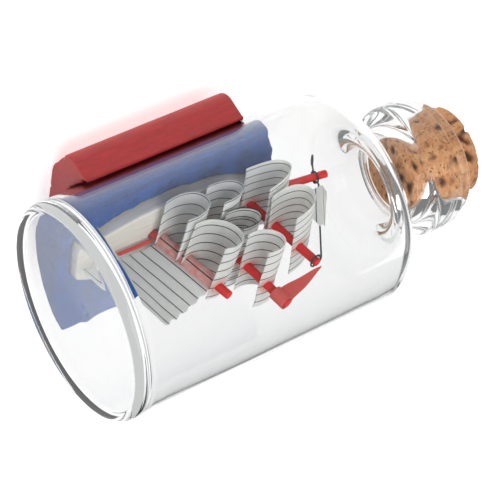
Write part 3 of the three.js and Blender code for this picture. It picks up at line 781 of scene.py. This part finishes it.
def rounded_copy(node, name, voxel, smooth_steps):
    """The CAD solid as one even, softly rounded skin, as an unlinked mesh."""
    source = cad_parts[node].data.copy()
    work = bpy.data.objects.new(name + "_work", source)
    bpy.context.scene.collection.objects.link(work)
    weld = work.modifiers.new("weld", "WELD")
    weld.merge_threshold = 0.01 * MM
    skin = work.modifiers.new("skin", "REMESH")
    skin.mode, skin.voxel_size, skin.use_smooth_shade = "VOXEL", voxel * MM, True
    soft = work.modifiers.new("soft", "SMOOTH")
    soft.factor, soft.iterations = 0.5, smooth_steps
    bpy.context.view_layer.update()
    evaluated = work.evaluated_get(bpy.context.evaluated_depsgraph_get())
    mesh = bpy.data.meshes.new_from_object(evaluated)
    mesh.name = name
    bpy.data.objects.remove(work)
    bpy.data.meshes.remove(source)
    return mesh


def reshape(mesh, change):
    """Moves each vertex to change(point, normal), in millimetres in the bottle's frame."""
    count = len(mesh.vertices)
    points, normals = np.zeros(count * 3, np.float32), np.zeros(count * 3, np.float32)
    mesh.vertices.foreach_get("co", points)
    mesh.vertex_normals.foreach_get("vector", normals)
    points = (points.reshape(-1, 3) - np.array(BASE)) / MM
    moved = [change(Vector(p), Vector(n)) for p, n in zip(points, normals.reshape(-1, 3))]
    world = np.array(moved) * MM + np.array(BASE)
    mesh.vertices.foreach_set("co", world.astype(np.float32).ravel())
    mesh.update()


class SHIP_OT_sea(bpy.types.Operator):
    """Presses the clay sea into the bottle and leaves finger marks and smears on it"""

    bl_idname = "ship.sea"
    bl_label = "Clay sea"

    def execute(self, context):
        s = context.scene.ship_clay
        inside = RADIUS - context.scene.ship_glass.wall - 0.13
        mesh = rounded_copy("sea", "clay_sea", 0.42, 5)
        pressed = []

        def press(v, n):
            radial = math.hypot(v.y, v.z)
            touching = min(1.0, max(0.0, (radial - inside + 1.0) / 0.7))
            swell = s.swell * (lumps(v, 6.5, 1.0) + 0.5 * lumps(v, 2.6, 5.0))
            swell += 0.07 * lumps(v, 0.9, 8.0)
            v += n * (swell * (1 - touching) + 0.22 * touching)
            radial = math.hypot(v.y, v.z)
            if radial > inside:
                v.y, v.z = v.y * inside / radial, v.z * inside / radial
            pressed.append(touching)
            return v

        reshape(mesh, press)
        mark = mesh.attributes.new("pressed", "FLOAT", "POINT")
        mark.data.foreach_set("value", pressed)
        mesh.materials.clear()
        mesh.materials.append(modelling_clay(s))
        place_piece(bpy.data.objects.new("clay_sea", mesh), "bottle", ["sea"])
        return {"FINISHED"}


class SHIP_OT_hull(bpy.types.Operator):
    """Carves the hull from one block, sands its edges and coats it"""

    bl_idname = "ship.hull"
    bl_label = "Hull"

    def execute(self, context):
        s = context.scene.ship_hull
        mesh = rounded_copy("hull", "carved_hull", 0.3, 9)
        reshape(mesh, lambda v, n: v + n * 0.06 * lumps(v, 4.0, 2.0))
        mesh.materials.clear()
        mesh.materials.append(gesso(s))
        place_piece(bpy.data.objects.new("carved_hull", mesh), "bottle", ["hull"])
        return {"FINISHED"}


# ---- masts, bowsprit and boom -------------------------------------------------------------------


class SHIP_OT_spars(bpy.types.Operator):
    """Cuts the masts, the bowsprit and the boom from round sticks and paints them"""

    bl_idname = "ship.spars"
    bl_label = "Masts and spars"

    def execute(self, context):
        paint = brushed_enamel("red_poster_paint_on_bamboo", context.scene.ship_spars.paint, 0.55,
                               0.22, 0.25)
        for order, node in enumerate(("mizzen_mast", "main_mast", "fore_mast", "bowsprit",
                                      "spanker_boom")):
            foot, head, radius = stick_axis(node)
            along = (head - foot).normalized()
            side = Vector((0, 1, 0))
            front = along.cross(side).normalized()
            length = (head - foot).length
            profile = [(radius - 0.22, 0.0), (radius - 0.06, 0.07), (radius, 0.25)]
            steps = round(length / 0.5)
            profile += [(radius, 0.25 + (length - 0.5) * k / steps) for k in range(1, steps)]
            profile += [(radius, length - 0.25), (radius - 0.06, length - 0.07),
                        (radius - 0.22, length)]
            rings = []
            for r, t in profile:
                ring = []
                for i in range(28):
                    a = 2 * math.pi * i / 28
                    shave = 0.035 * (1 + noise.noise(Vector((1.2 * math.cos(a), 1.2 * math.sin(a),
                                                             t * 0.12 + 9 * order))))
                    spot = foot + along * t
                    ring.append(spot + (side * math.cos(a) + front * math.sin(a)) * (r - shave))
                rings.append(ring)
            points, faces = loft(rings)
            mesh = mesh_of(node + "_stick", points, faces, paint)
            stick = bpy.data.objects.new(node + "_stick", mesh)
            place_piece(stick, "bottle", [node])
        return {"FINISHED"}


# ---- sails --------------------------------------------------------------------------------------

# Each square sail: mast, foot and height along the mast from the deck, how far the belly stands
# forward, half width, turn about the mast, how far the curl hangs below the foot and stands above
# the head, distance between ruled lines, and the gap of a pair where the lines are double, all in
# millimetres and degrees.
SQUARE_SAILS = {
    "mizzen_course": ("mizzen_mast", 1.9, 6.2, 6.4, 11.9, 9, 7, 1.4, 3, 2.9, 0),
    "mizzen_topsail": ("mizzen_mast", 9.3, 8.2, 5.4, 11, 3.2, 13, 0.8, 4, 2.4, 0),
    "main_course": ("main_mast", 2.4, 5.3, 4.8, 12.2, 9, 7, 0, 1.5, 2.4, 0),
    "main_topsail": ("main_mast", 8.6, 5.2, 4.3, 10, 8, 9, 0, 2, 2.5, 0.7),
    "main_topgallant": ("main_mast", 15.8, 5.9, 3.9, 10.8, 6.5, 3, 0, 3, 2.4, 0),
    "fore_course": ("fore_mast", 1.9, 7.1, 5.9, 12.8, 9, -4.5, -2.4, 0.6, 2.4, 0),
    "fore_topsail": ("fore_mast", 9.8, 7.2, 5.7, 11.5, 8.5, -5.5, 1, 1.6, 2.4, 0),
}
SAIL_MARGIN = 2.0  # paper aft of the mast's middle at the head and the foot of a sail
STEP_DEPTH = 1.5  # part of a mast that stands in the deck


def mast_frame(node, up=0.0, turn=0.0):
    """The frame of something on a mast: +Z up the mast, +X forward, at a height above the deck."""
    foot, head, _ = stick_axis(node)
    along = (head - foot).normalized()
    spot = foot + along * (STEP_DEPTH + up)
    lean = Matrix.Rotation(math.atan2(along.x, along.z), 4, "Y")
    return TO_WORLD @ Matrix.Translation(spot) @ lean @ Matrix.Rotation(math.radians(-turn), 4, "Z")


def curled_sheet_tree():
    """Geometry nodes for one square sail: a flat grid bent along a cubic curve, crumpled a little
    and given the paper's thickness."""
    tree = bpy.data.node_groups.new("curled_sheet", "GeometryNodeTree")
    tree.interface.new_socket("Geometry", in_out="INPUT", socket_type="NodeSocketGeometry")
    for name in ("Foot", "Lower pull", "Upper pull", "Head"):
        tree.interface.new_socket(name, in_out="INPUT", socket_type="NodeSocketVector")
    for name in ("Port", "Starboard", "Thickness", "Crumple", "Seed"):
        tree.interface.new_socket(name, in_out="INPUT", socket_type="NodeSocketFloat")
    tree.interface.new_socket("Paper", in_out="INPUT", socket_type="NodeSocketMaterial")
    tree.interface.new_socket("Geometry", in_out="OUTPUT", socket_type="NodeSocketGeometry")
    given = add(tree, "NodeGroupInput").outputs
    grid = add(tree, "GeometryNodeMeshGrid", {"Size X": 1.0, "Size Y": 1.0, "Vertices X": 73,
               "Vertices Y": 61})
    spot = add(tree, "GeometryNodeInputPosition")
    parts = add(tree, "ShaderNodeSeparateXYZ", {0: spot.outputs["Position"]})
    u = add(tree, "ShaderNodeMath", {0: parts.outputs["X"], 1: 0.5}, operation="ADD").outputs[0]
    w = add(tree, "ShaderNodeMath", {0: 1.0, 1: u}, operation="SUBTRACT").outputs[0]
    squares = [add(tree, "ShaderNodeMath", {0: a, 1: a}, operation="MULTIPLY").outputs[0]
               for a in (w, u)]
    cubes = [add(tree, "ShaderNodeMath", {0: a, 1: b}, operation="MULTIPLY").outputs[0]
             for a, b in ((squares[0], w), (squares[0], u), (squares[1], w), (squares[1], u))]
    total = None
    for name, weight, share in zip(("Foot", "Lower pull", "Upper pull", "Head"), cubes,
                                   (1.0, 3.0, 3.0, 1.0)):
        times = add(tree, "ShaderNodeMath", {0: weight, 1: share}, operation="MULTIPLY")
        scaled = add(tree, "ShaderNodeVectorMath", {0: given[name], "Scale": times.outputs[0]},
                     operation="SCALE")
        if total is None:
            total = scaled
        else:
            total = add(tree, "ShaderNodeVectorMath", {0: total.outputs[0], 1: scaled.outputs[0]},
                        operation="ADD")
    wide = add(tree, "ShaderNodeMath", {0: given["Port"], 1: given["Starboard"]}, operation="ADD")
    uneven = add(tree, "ShaderNodeMath", {0: given["Port"], 1: given["Starboard"]},
                 operation="SUBTRACT")
    middle = add(tree, "ShaderNodeMath", {0: uneven.outputs[0], 1: 0.5}, operation="MULTIPLY")
    y = add(tree, "ShaderNodeMath", {0: parts.outputs["Y"], 1: wide.outputs[0],
            2: middle.outputs[0]}, operation="MULTIPLY_ADD")
    sideways = add(tree, "ShaderNodeCombineXYZ", {"Y": y.outputs[0]})
    bent = add(tree, "ShaderNodeVectorMath", {0: total.outputs[0], 1: sideways.outputs[0]},
               operation="ADD")
    drift = add(tree, "ShaderNodeTexNoise", {"Vector": bent.outputs[0], "W": given["Seed"],
                "Scale": 0.16, "Detail": 1.0}, noise_dimensions="4D")
    centred = add(tree, "ShaderNodeVectorMath", {0: drift.outputs["Color"], 1: (0.5, 0.5, 0.5)},
                  operation="SUBTRACT")
    kept = add(tree, "ShaderNodeVectorMath", {0: centred.outputs[0], 1: (1.0, 0.35, 1.0)},
               operation="MULTIPLY")
    crumple = add(tree, "ShaderNodeVectorMath", {0: kept.outputs[0], "Scale": given["Crumple"]},
                  operation="SCALE")
    shape = add(tree, "ShaderNodeVectorMath", {0: bent.outputs[0], 1: crumple.outputs[0]},
                operation="ADD")
    ruled = add(tree, "ShaderNodeCombineXYZ", {"X": y.outputs[0], "Y": u})
    marked = add(tree, "GeometryNodeStoreNamedAttribute", {"Geometry": grid.outputs["Mesh"],
                 "Name": "sheet", "Value": ruled.outputs[0]}, data_type="FLOAT2", domain="CORNER")
    moved = add(tree, "GeometryNodeSetPosition", {"Geometry": marked.outputs[0],
                "Position": shape.outputs[0]})
    # Paper within about 3 mm of the mast's line is marked for a painted red glow, a painted reflection
    # of the red mast's light.
    here = add(tree, "GeometryNodeInputPosition")
    flat = add(tree, "ShaderNodeVectorMath", {0: here.outputs[0], 1: (1.0, 1.0, 0.0)},
               operation="MULTIPLY")
    reach = add(tree, "ShaderNodeVectorMath", {0: flat.outputs[0]}, operation="LENGTH")
    glow = add(tree, "ShaderNodeMapRange", {"Value": reach.outputs["Value"], "From Min": 3.2,
               "From Max": 1.0}, interpolation_type="SMOOTHSTEP")
    glow_painted = add(tree, "GeometryNodeStoreNamedAttribute", {"Geometry": moved.outputs[0],
                  "Name": "painted_mast_glow", "Value": glow.outputs["Result"]}, data_type="FLOAT",
                  domain="POINT")
    thick = add(tree, "GeometryNodeExtrudeMesh", {"Mesh": glow_painted.outputs[0],
                "Offset Scale": given["Thickness"], "Individual": False})
    back = add(tree, "GeometryNodeFlipFaces", {"Mesh": glow_painted.outputs[0]})
    joined = add(tree, "GeometryNodeJoinGeometry")
    tree.links.new(thick.outputs["Mesh"], joined.inputs[0])
    tree.links.new(back.outputs["Mesh"], joined.inputs[0])
    closed = add(tree, "GeometryNodeMergeByDistance", {"Geometry": joined.outputs[0],
                 "Distance": 0.001})
    real = add(tree, "GeometryNodeRealizeInstances", {"Geometry": closed.outputs[0]})
    shaded = add(tree, "GeometryNodeSetShadeSmooth", {"Geometry": real.outputs[0],
                 "Shade Smooth": True})
    covered = add(tree, "GeometryNodeSetMaterial", {"Geometry": shaded.outputs[0],
                  "Material": given["Paper"]})
    add(tree, "NodeGroupOutput", {"Geometry": covered.outputs[0]})
    return tree


def grown(name, tree, settings, source=None):
    """The plain mesh that a tree makes with these named inputs."""
    work = bpy.data.objects.new(name + "_work", source or bpy.data.meshes.new(name + "_work"))
    bpy.context.scene.collection.objects.link(work)
    modifier = work.modifiers.new("grow", "NODES")
    modifier.node_group = tree
    sockets = {i.name: i.identifier for i in tree.interface.items_tree
               if i.item_type == "SOCKET" and i.in_out == "INPUT"}
    for key, value in settings.items():
        modifier[sockets[key]] = value
    bpy.context.view_layer.update()
    mesh = bpy.data.meshes.new_from_object(
        work.evaluated_get(bpy.context.evaluated_depsgraph_get()))
    mesh.name = name
    work.modifiers.clear()
    bpy.data.objects.remove(work)
    return mesh


class SHIP_OT_square_sails(bpy.types.Operator):
    """Curls seven sheets of ruled paper and threads them on the masts"""

    bl_idname = "ship.square_sails"
    bl_label = "Square sails"

    def execute(self, context):
        paper = context.scene.ship_paper
        tree = curled_sheet_tree()
        made = {}
        for order, (name, given) in enumerate(SQUARE_SAILS.items()):
            mast, foot, height, belly, port, starboard, turn, sag, lift, pitch, pair = given
            if (pitch, pair) not in made:
                made[pitch, pair] = ruled_paper(
                    f"writing_paper_ruled_{len(made) + 1}", paper, pitch, pair=pair)
            reach = (belly + SAIL_MARGIN / 4) / 0.75
            mesh = grown(name + "_sheet", tree, {
                "Foot": (-SAIL_MARGIN, 0.0, 0.0), "Lower pull": (reach, 0.0, -float(sag)),
                "Upper pull": (reach, 0.0, float(height + lift)),
                "Head": (-SAIL_MARGIN, 0.0, float(height)), "Port": float(port),
                "Starboard": float(starboard),
                "Thickness": paper.thickness, "Crumple": 0.55, "Seed": 3.0 + order,
                "Paper": made[pitch, pair]})
            mesh.transform(mast_frame(mast, foot, turn))
            place_piece(bpy.data.objects.new(name + "_sheet", mesh), "bottle",
                        [name])
        return {"FINISHED"}


SPANKER = {"foot": 1.9, "luff": 15.3, "chord": 17.0, "clew_drop": 3.4, "peak_rise": 1.9,
           "wave": 0.5, "leech": 3.0}


class SHIP_OT_spanker(bpy.types.Operator):
    """Glues the spanker round the mizzen mast, with the leech of its leaf curled to port"""

    bl_idname = "ship.spanker"
    bl_label = "Spanker"

    def execute(self, context):
        paper = context.scene.ship_paper
        g = SPANKER
        wrap = 1.42  # radius of the paper's turn round the mast
        pitch = 2.75  # between the ruled lines
        leaf = bezier([(-wrap, 0), (-g["chord"] / 3, -g["wave"]),
                       (-2 * g["chord"] / 3, g["wave"]), (-g["chord"], g["leech"])], 40)
        turn = [(wrap * math.cos(a), wrap * math.sin(a))
                for a in np.linspace(math.pi, -math.pi * 0.93, 40)[1:]]
        lap = [(-wrap - 0.1 - 0.1 * k, -0.16 - 0.02 * k) for k in range(1, 14)]
        line = spaced([tuple(p) for p in leaf[::-1]] + turn + lap, 0.3)
        run = np.concatenate(([0.0], np.cumsum([(b - a).length
                                                for a, b in zip(line, line[1:])])))
        rows = 46
        grid, uv, painted_mast_glow = [], [], []
        for p, s in zip(line, run):
            back = max(0.0, -p.x - wrap) / g["chord"] if s < run[-1] - 8 else 0.0
            low = g["foot"] - g["clew_drop"] * back
            high = g["foot"] + g["luff"] + g["peak_rise"] * back
            high += 0.25 * math.sin(s * 1.9) * (back > 0.02)
            column = []
            for z in np.linspace(low, high, rows):
                flutter = 0.2 * back * lumps((p.x, z, 0), 6.0, 3.0)
                column.append((p.x, p.y + flutter, z))
            grid.append(column)
            uv.append([(s, z) for z in np.linspace(low, high, rows)])
            # Paper close round the mast is marked for a painted red glow, a painted reflection of the
            # red mast's light.
            painted_mast_glow.append([1.6 * max(0.0, 1 - max(0.0, p.length - 1.2) / 1.4)] * rows)
        points, faces, flat, marks = paper_shell(grid, uv, paper.thickness, {"painted_mast_glow": painted_mast_glow})
        material = ruled_paper("writing_paper_ruled_upright", paper, pitch, offset=0.1)
        mesh = mesh_of("spanker_sheet", points, faces, material, uv=flat, marks=marks,
                       to_world=mast_frame("mizzen_mast"))
        place_piece(bpy.data.objects.new("spanker_sheet", mesh), "bottle",
                    ["spanker"])
        return {"FINISHED"}


class SHIP_OT_pennant(bpy.types.Operator):
    """Glues the tissue flag round the head of the main mast"""

    bl_idname = "ship.pennant"
    bl_label = "Pennant"

    def execute(self, context):
        paper = context.scene.ship_paper
        foot, head, _ = stick_axis("main_mast")
        height = (head - foot).length - STEP_DEPTH - 0.2
        drop, length, dip, wrap = 3.5, 12.4, 2.4, 1.45
        turn = [(wrap * math.cos(a), wrap * math.sin(a))
                for a in np.linspace(0.06, 2 * math.pi - 0.06, 44)]
        fly = [(x, 0.25 * math.sin(x * 0.7)) for x in np.linspace(wrap + 0.25, length - 0.1, 46)]
        line = turn + fly
        rows = 14
        grid, uv = [], []
        for x, y in line:
            far = max(0.0, x - wrap) / (length - wrap) if (x, y) in fly else 0.0
            top = -0.8 * 2 * far * (1 - far) - dip * far * far
            bottom = -drop * (1 - far * far) - (dip + 0.12) * far * far
            grid.append([(x, y, z) for z in np.linspace(bottom, top, rows)])
            uv.append([(x, z) for z in np.linspace(bottom, top, rows)])
        points, faces, flat, _ = paper_shell(grid, uv, paper.thickness)
        mesh = mesh_of("pennant_flag", points, faces, tissue_paper(paper), uv=flat,
                       to_world=mast_frame("main_mast", height))
        place_piece(bpy.data.objects.new("pennant_flag", mesh), "bottle",
                    ["pennant"])
        return {"FINISHED"}


# ---- forestay and jib ---------------------------------------------------------------------------

STAY = {"mast_head": 0.5, "on_sprit": 15.4, "tail": 2.2, "eye": 0.75, "stretch": 1.7}
TURN_GAP = 0.3 + 0.28  # from a stick's skin to where the straight run of the thread leaves it
SNUG = 0.18  # how much closer than that the turns lie on the stick


def stay_run():
    """Where the stay turns round the mast and the bowsprit, and the straight run between them."""
    foot, head, radius = stick_axis("fore_mast")
    up = (head - foot).normalized()
    low, high, thin = stick_axis("bowsprit")
    out = (high - low).normalized()
    top = head - up * STAY["mast_head"]
    knot = low + out * STAY["on_sprit"]
    forward = Vector((up.z, 0, -up.x))
    above = Vector((-out.z, 0, out.x))
    start = top + forward * (radius + TURN_GAP)
    end = knot + above * (thin + TURN_GAP)
    return top, up, forward, radius + TURN_GAP, knot, out, above, thin + TURN_GAP, start, end


def twisted_thread_tree():
    """Geometry nodes for a thread: three strands that twist round each other along a line."""
    tree = bpy.data.node_groups.new("twisted_thread", "GeometryNodeTree")
    tree.interface.new_socket("Geometry", in_out="INPUT", socket_type="NodeSocketGeometry")
    for name in ("Radius", "Lay", "Step"):
        tree.interface.new_socket(name, in_out="INPUT", socket_type="NodeSocketFloat")
    tree.interface.new_socket("Thread", in_out="INPUT", socket_type="NodeSocketMaterial")
    tree.interface.new_socket("Geometry", in_out="OUTPUT", socket_type="NodeSocketGeometry")
    given = add(tree, "NodeGroupInput").outputs
    line = add(tree, "GeometryNodeMeshToCurve", {"Mesh": given["Geometry"]})
    even = add(tree, "GeometryNodeResampleCurve", {"Curve": line.outputs[0],
               "Length": given["Step"]}, mode="LENGTH")
    spot = add(tree, "GeometryNodeSplineParameter")
    turns = add(tree, "ShaderNodeMath", {0: spot.outputs["Length"], 1: given["Lay"]},
                operation="DIVIDE")
    angle = add(tree, "ShaderNodeMath", {0: turns.outputs[0], 1: 2 * math.pi},
                operation="MULTIPLY")
    tilted = add(tree, "GeometryNodeSetCurveTilt", {"Curve": even.outputs[0],
                 "Tilt": angle.outputs[0]})
    thin = add(tree, "ShaderNodeMath", {0: given["Radius"], 1: 0.52}, operation="MULTIPLY")
    ring = add(tree, "GeometryNodeCurvePrimitiveCircle", {"Resolution": 7,
               "Radius": thin.outputs[0]})
    aside = add(tree, "ShaderNodeCombineXYZ", {"X": thin.outputs[0]})
    moved = add(tree, "GeometryNodeTransform", {"Geometry": ring.outputs[0],
                "Translation": aside.outputs[0]})
    strands = add(tree, "GeometryNodeJoinGeometry")
    for third in range(3):
        turned = add(tree, "GeometryNodeTransform", {"Geometry": moved.outputs[0],
                     "Rotation": (0.0, 0.0, 2 * math.pi * third / 3)})
        tree.links.new(turned.outputs[0], strands.inputs[0])
    swept = add(tree, "GeometryNodeCurveToMesh", {"Curve": tilted.outputs[0],
                "Profile Curve": strands.outputs[0], "Fill Caps": True})
    real = add(tree, "GeometryNodeRealizeInstances", {"Geometry": swept.outputs[0]})
    shaded = add(tree, "GeometryNodeSetShadeSmooth", {"Geometry": real.outputs[0],
                 "Shade Smooth": True})
    covered = add(tree, "GeometryNodeSetMaterial", {"Geometry": shaded.outputs[0],
                  "Material": given["Thread"]})
    add(tree, "NodeGroupOutput", {"Geometry": covered.outputs[0]})
    return tree


class SHIP_OT_stay(bpy.types.Operator):
    """Ties the forestay from the fore mast to the bowsprit, with a stiff eye at its end"""

    bl_idname = "ship.stay"
    bl_label = "Forestay"

    def execute(self, context):
        s = context.scene.ship_thread
        top, up, forward, mast_turn, knot, out, above, sprit_turn, start, end = stay_run()
        mast_turn, sprit_turn = mast_turn - SNUG, sprit_turn - SNUG
        side = Vector((0, 1, 0))
        pitch = 2 * s.radius + 0.03
        line = []
        for k in range(33):
            a = 2 * math.pi * k / 32
            lift = up * (-pitch * (1 - k / 32))
            line.append(top + lift + (forward * math.cos(a) + side * math.sin(a)) * mast_turn)
        run = end - start
        for k in range(1, 30):
            t = k / 30
            line.append(start + run * t + above * (-0.10 * math.sin(math.pi * t)))
        for k in range(49):
            a = 2 * math.pi * k / 32
            shift = out * (pitch * (k / 32 - 1.0))
            line.append(knot + shift + (above * math.cos(a) - side * math.sin(a)) * sprit_turn)
        along = run.normalized()
        last = line[-1]
        tail = knot - above * sprit_turn + along * STAY["tail"]
        for k in range(1, 9):
            line.append(last.lerp(tail, k / 8))
        tall, wide = STAY["eye"] * STAY["stretch"], STAY["eye"]
        across = side
        centre = tail + along * tall
        for k in range(1, 33):
            a = 2 * math.pi * k / 33
            line.append(centre - along * tall * math.cos(a) + across * wide * math.sin(a))
        path = bpy.data.meshes.new("stay_path")
        path.from_pydata(line, [(i, i + 1) for i in range(len(line) - 1)], [])
        mesh = grown("forestay_thread", twisted_thread_tree(), {
            "Radius": s.radius, "Lay": 2.1, "Step": 0.12, "Thread": linen_thread(s)}, path)
        mesh.transform(TO_WORLD)
        place_piece(bpy.data.objects.new("forestay_thread", mesh), "bottle",
                    ["forestay"])
        return {"FINISHED"}


JIB = {"head": 0.62, "tack": 0.1, "foot": 7.6, "ahead": 0.6, "to_port": 1.0, "wing": 4.0,
       "wing_turn": 60.0}


class SHIP_OT_jib(bpy.types.Operator):
    """Folds ruled paper over the forestay, with one wing aft and one sprung to starboard"""

    bl_idname = "ship.jib"
    bl_label = "Jib"

    def execute(self, context):
        paper = context.scene.ship_paper
        start, end = stay_run()[-2:]
        run = end - start
        g = JIB
        top = start + run * (1 - g["head"])
        tack = start + run * (1 - g["tack"])
        angle = math.radians(g["wing_turn"])
        forward = Vector((math.cos(angle), -math.sin(angle)))
        crease = Vector((g["ahead"], g["to_port"]))
        bend = 0.5  # length of paper on each side that takes part in the crease
        grid, uv = [], []
        for t in np.linspace(0, 1, 40):
            edge = tack.lerp(top, t)
            aft = g["foot"] * (1 - t) + 1.1 * t - 0.2
            wing = g["wing"] * (1 - t) + g["wing"] / 3 * t - 0.2
            rough = [crease - Vector((aft, 0)), crease - Vector((bend, 0)), crease,
                     crease + forward * bend, crease + forward * wing]
            line = [Vector(p) for p in softened([tuple(p) for p in rough], 2)]
            run_length = np.concatenate(([0.0], np.cumsum([(q - p).length
                                                           for p, q in zip(line, line[1:])])))
            even = np.linspace(0, run_length[-1], 61)
            row, flat = [], []
            for d, x, y in zip(even, np.interp(even, run_length, [p.x for p in line]),
                               np.interp(even, run_length, [p.y for p in line])):
                z = edge.z + 0.6 * max(0.0, crease.x - x) / g["foot"] * (1 - t)
                row.append((edge.x + x, edge.y + y, z))
                flat.append((d - aft, z))
            grid.append(row)
            uv.append(flat)
        points, faces, flat, _ = paper_shell(grid, uv, paper.thickness)
        mesh = mesh_of("jib_sheet", points, faces,
                       ruled_paper("writing_paper_ruled_jib", paper, 2.4, offset=0.2), uv=flat)
        place_piece(bpy.data.objects.new("jib_sheet", mesh), "bottle", ["jib"])
        return {"FINISHED"}


# ---- studio -------------------------------------------------------------------------------------


def lamp(name, spot, aim, width, power):
    light = bpy.data.lights.new(name, "AREA")
    light.shape, light.size, light.energy = "SQUARE", width, power
    holder = bpy.data.objects.new(name, light)
    holder.location = spot
    holder.rotation_euler = (Vector(aim) - Vector(spot)).to_track_quat("-Z", "Y").to_euler()
    bpy.context.scene.collection.objects.link(holder)


class SHIP_OT_studio(bpy.types.Operator):
    """Lays the white floor, hangs the lamps and sets the camera"""

    bl_idname = "ship.studio"
    bl_label = "Studio"

    def execute(self, context):
        s = context.scene.ship_studio
        scene = context.scene
        material, tree = new_material("white_card_matt")
        place = add(tree, "ShaderNodeTexCoord").outputs["Object"]
        cloud = add(tree, "ShaderNodeTexNoise", {"Vector": place, "Scale": 4.0, "Detail": 2.0})
        tone = add(tree, "ShaderNodeMix", {0: cloud.outputs["Fac"], 6: linear("DADADA"),
                   7: linear("DEDEDE")}, data_type="RGBA")
        shader = add(tree, "ShaderNodeBsdfPrincipled", {"Base Color": tone.outputs[2],
                     "Roughness": 0.9, "Specular IOR Level": 0.1,
                     "Emission Color": linear("FFFFFF"), "Emission Strength": 0.70})
        add(tree, "ShaderNodeOutputMaterial", {"Surface": shader.outputs["BSDF"]})
        side = 3.0
        mesh = bpy.data.meshes.new("studio_floor")
        corners = [(x, y, CAD_BOX[0].z) for x, y in
                   ((-side, -side), (side, -side), (side, side), (-side, side))]
        mesh.from_pydata(corners, [], [(0, 1, 2, 3)])
        mesh.materials.append(material)
        floor = bpy.data.objects.new("studio_floor", mesh)
        scene.collection.objects.link(floor)

        aim = (CAD_BOX[0] + CAD_BOX[1]) / 2
        lamp("key_lamp", aim + Vector((-0.25, 0.35, 0.85)), aim, 0.7, s.key)
        lamp("fill_lamp", aim + Vector((0.7, -0.2, 0.6)), aim, 0.5, s.fill)

        world = bpy.data.worlds.new("room")
        world.use_nodes = True
        world.node_tree.nodes.clear()
        room = add(world.node_tree, "ShaderNodeBackground", {"Color": linear("F4F6F8"),
                   "Strength": s.sky})
        add(world.node_tree, "ShaderNodeOutputWorld", {"Surface": room.outputs[0]})
        scene.world = world
        scene.view_settings.view_transform = "Standard"

        camera = bpy.data.cameras.new("camera")
        camera.lens, camera.sensor_width = 157.68, 36.0
        camera.shift_x, camera.shift_y = -0.0184, -0.0322
        camera.clip_start, camera.clip_end = 0.01, 20.0
        right = Vector((0.8148, 0.1503, 0.5600)).normalized()
        back = Vector((-0.4543, 0.7656, 0.4555)).normalized()
        up = back.cross(right).normalized()
        right = up.cross(back)
        turn = Matrix((right, up, back)).transposed().to_4x4()
        holder = bpy.data.objects.new("camera", camera)
        holder.matrix_world = Matrix.Translation((-0.20926, 0.34744, 0.23531)) @ turn
        scene.collection.objects.link(holder)
        scene.camera = holder
        return {"FINISHED"}


# ---- panel and running --------------------------------------------------------------------------

OPERATORS = (SHIP_OT_glass, SHIP_OT_cork, SHIP_OT_cradle, SHIP_OT_sea, SHIP_OT_hull,
             SHIP_OT_spars, SHIP_OT_square_sails, SHIP_OT_spanker, SHIP_OT_pennant,
             SHIP_OT_stay, SHIP_OT_jib, SHIP_OT_studio)


class SHIP_PT_panel(bpy.types.Panel):
    bl_label = "Ship in a bottle"
    bl_idname = "SHIP_PT_panel"
    bl_space_type = "VIEW_3D"
    bl_region_type = "UI"
    bl_category = "Ship"

    def draw(self, context):
        for made in OPERATORS:
            self.layout.operator(made.bl_idname)
        for key, group in GROUPS.items():
            box = self.layout.box()
            for name in group.__annotations__:
                box.prop(getattr(context.scene, key), name)


def register():
    for key, group in GROUPS.items():
        bpy.utils.register_class(group)
        setattr(bpy.types.Scene, key, bpy.props.PointerProperty(type=group))
    for made in (*OPERATORS, SHIP_PT_panel):
        bpy.utils.register_class(made)


def unregister():
    for made in (SHIP_PT_panel, *reversed(OPERATORS)):
        bpy.utils.unregister_class(made)
    for key, group in GROUPS.items():
        delattr(bpy.types.Scene, key)
        bpy.utils.unregister_class(group)


def main():
    register()
    for made in OPERATORS:
        area, name = made.bl_idname.split(".")
        getattr(getattr(bpy.ops, area), name)()


if __name__ == "__main__":
    main()
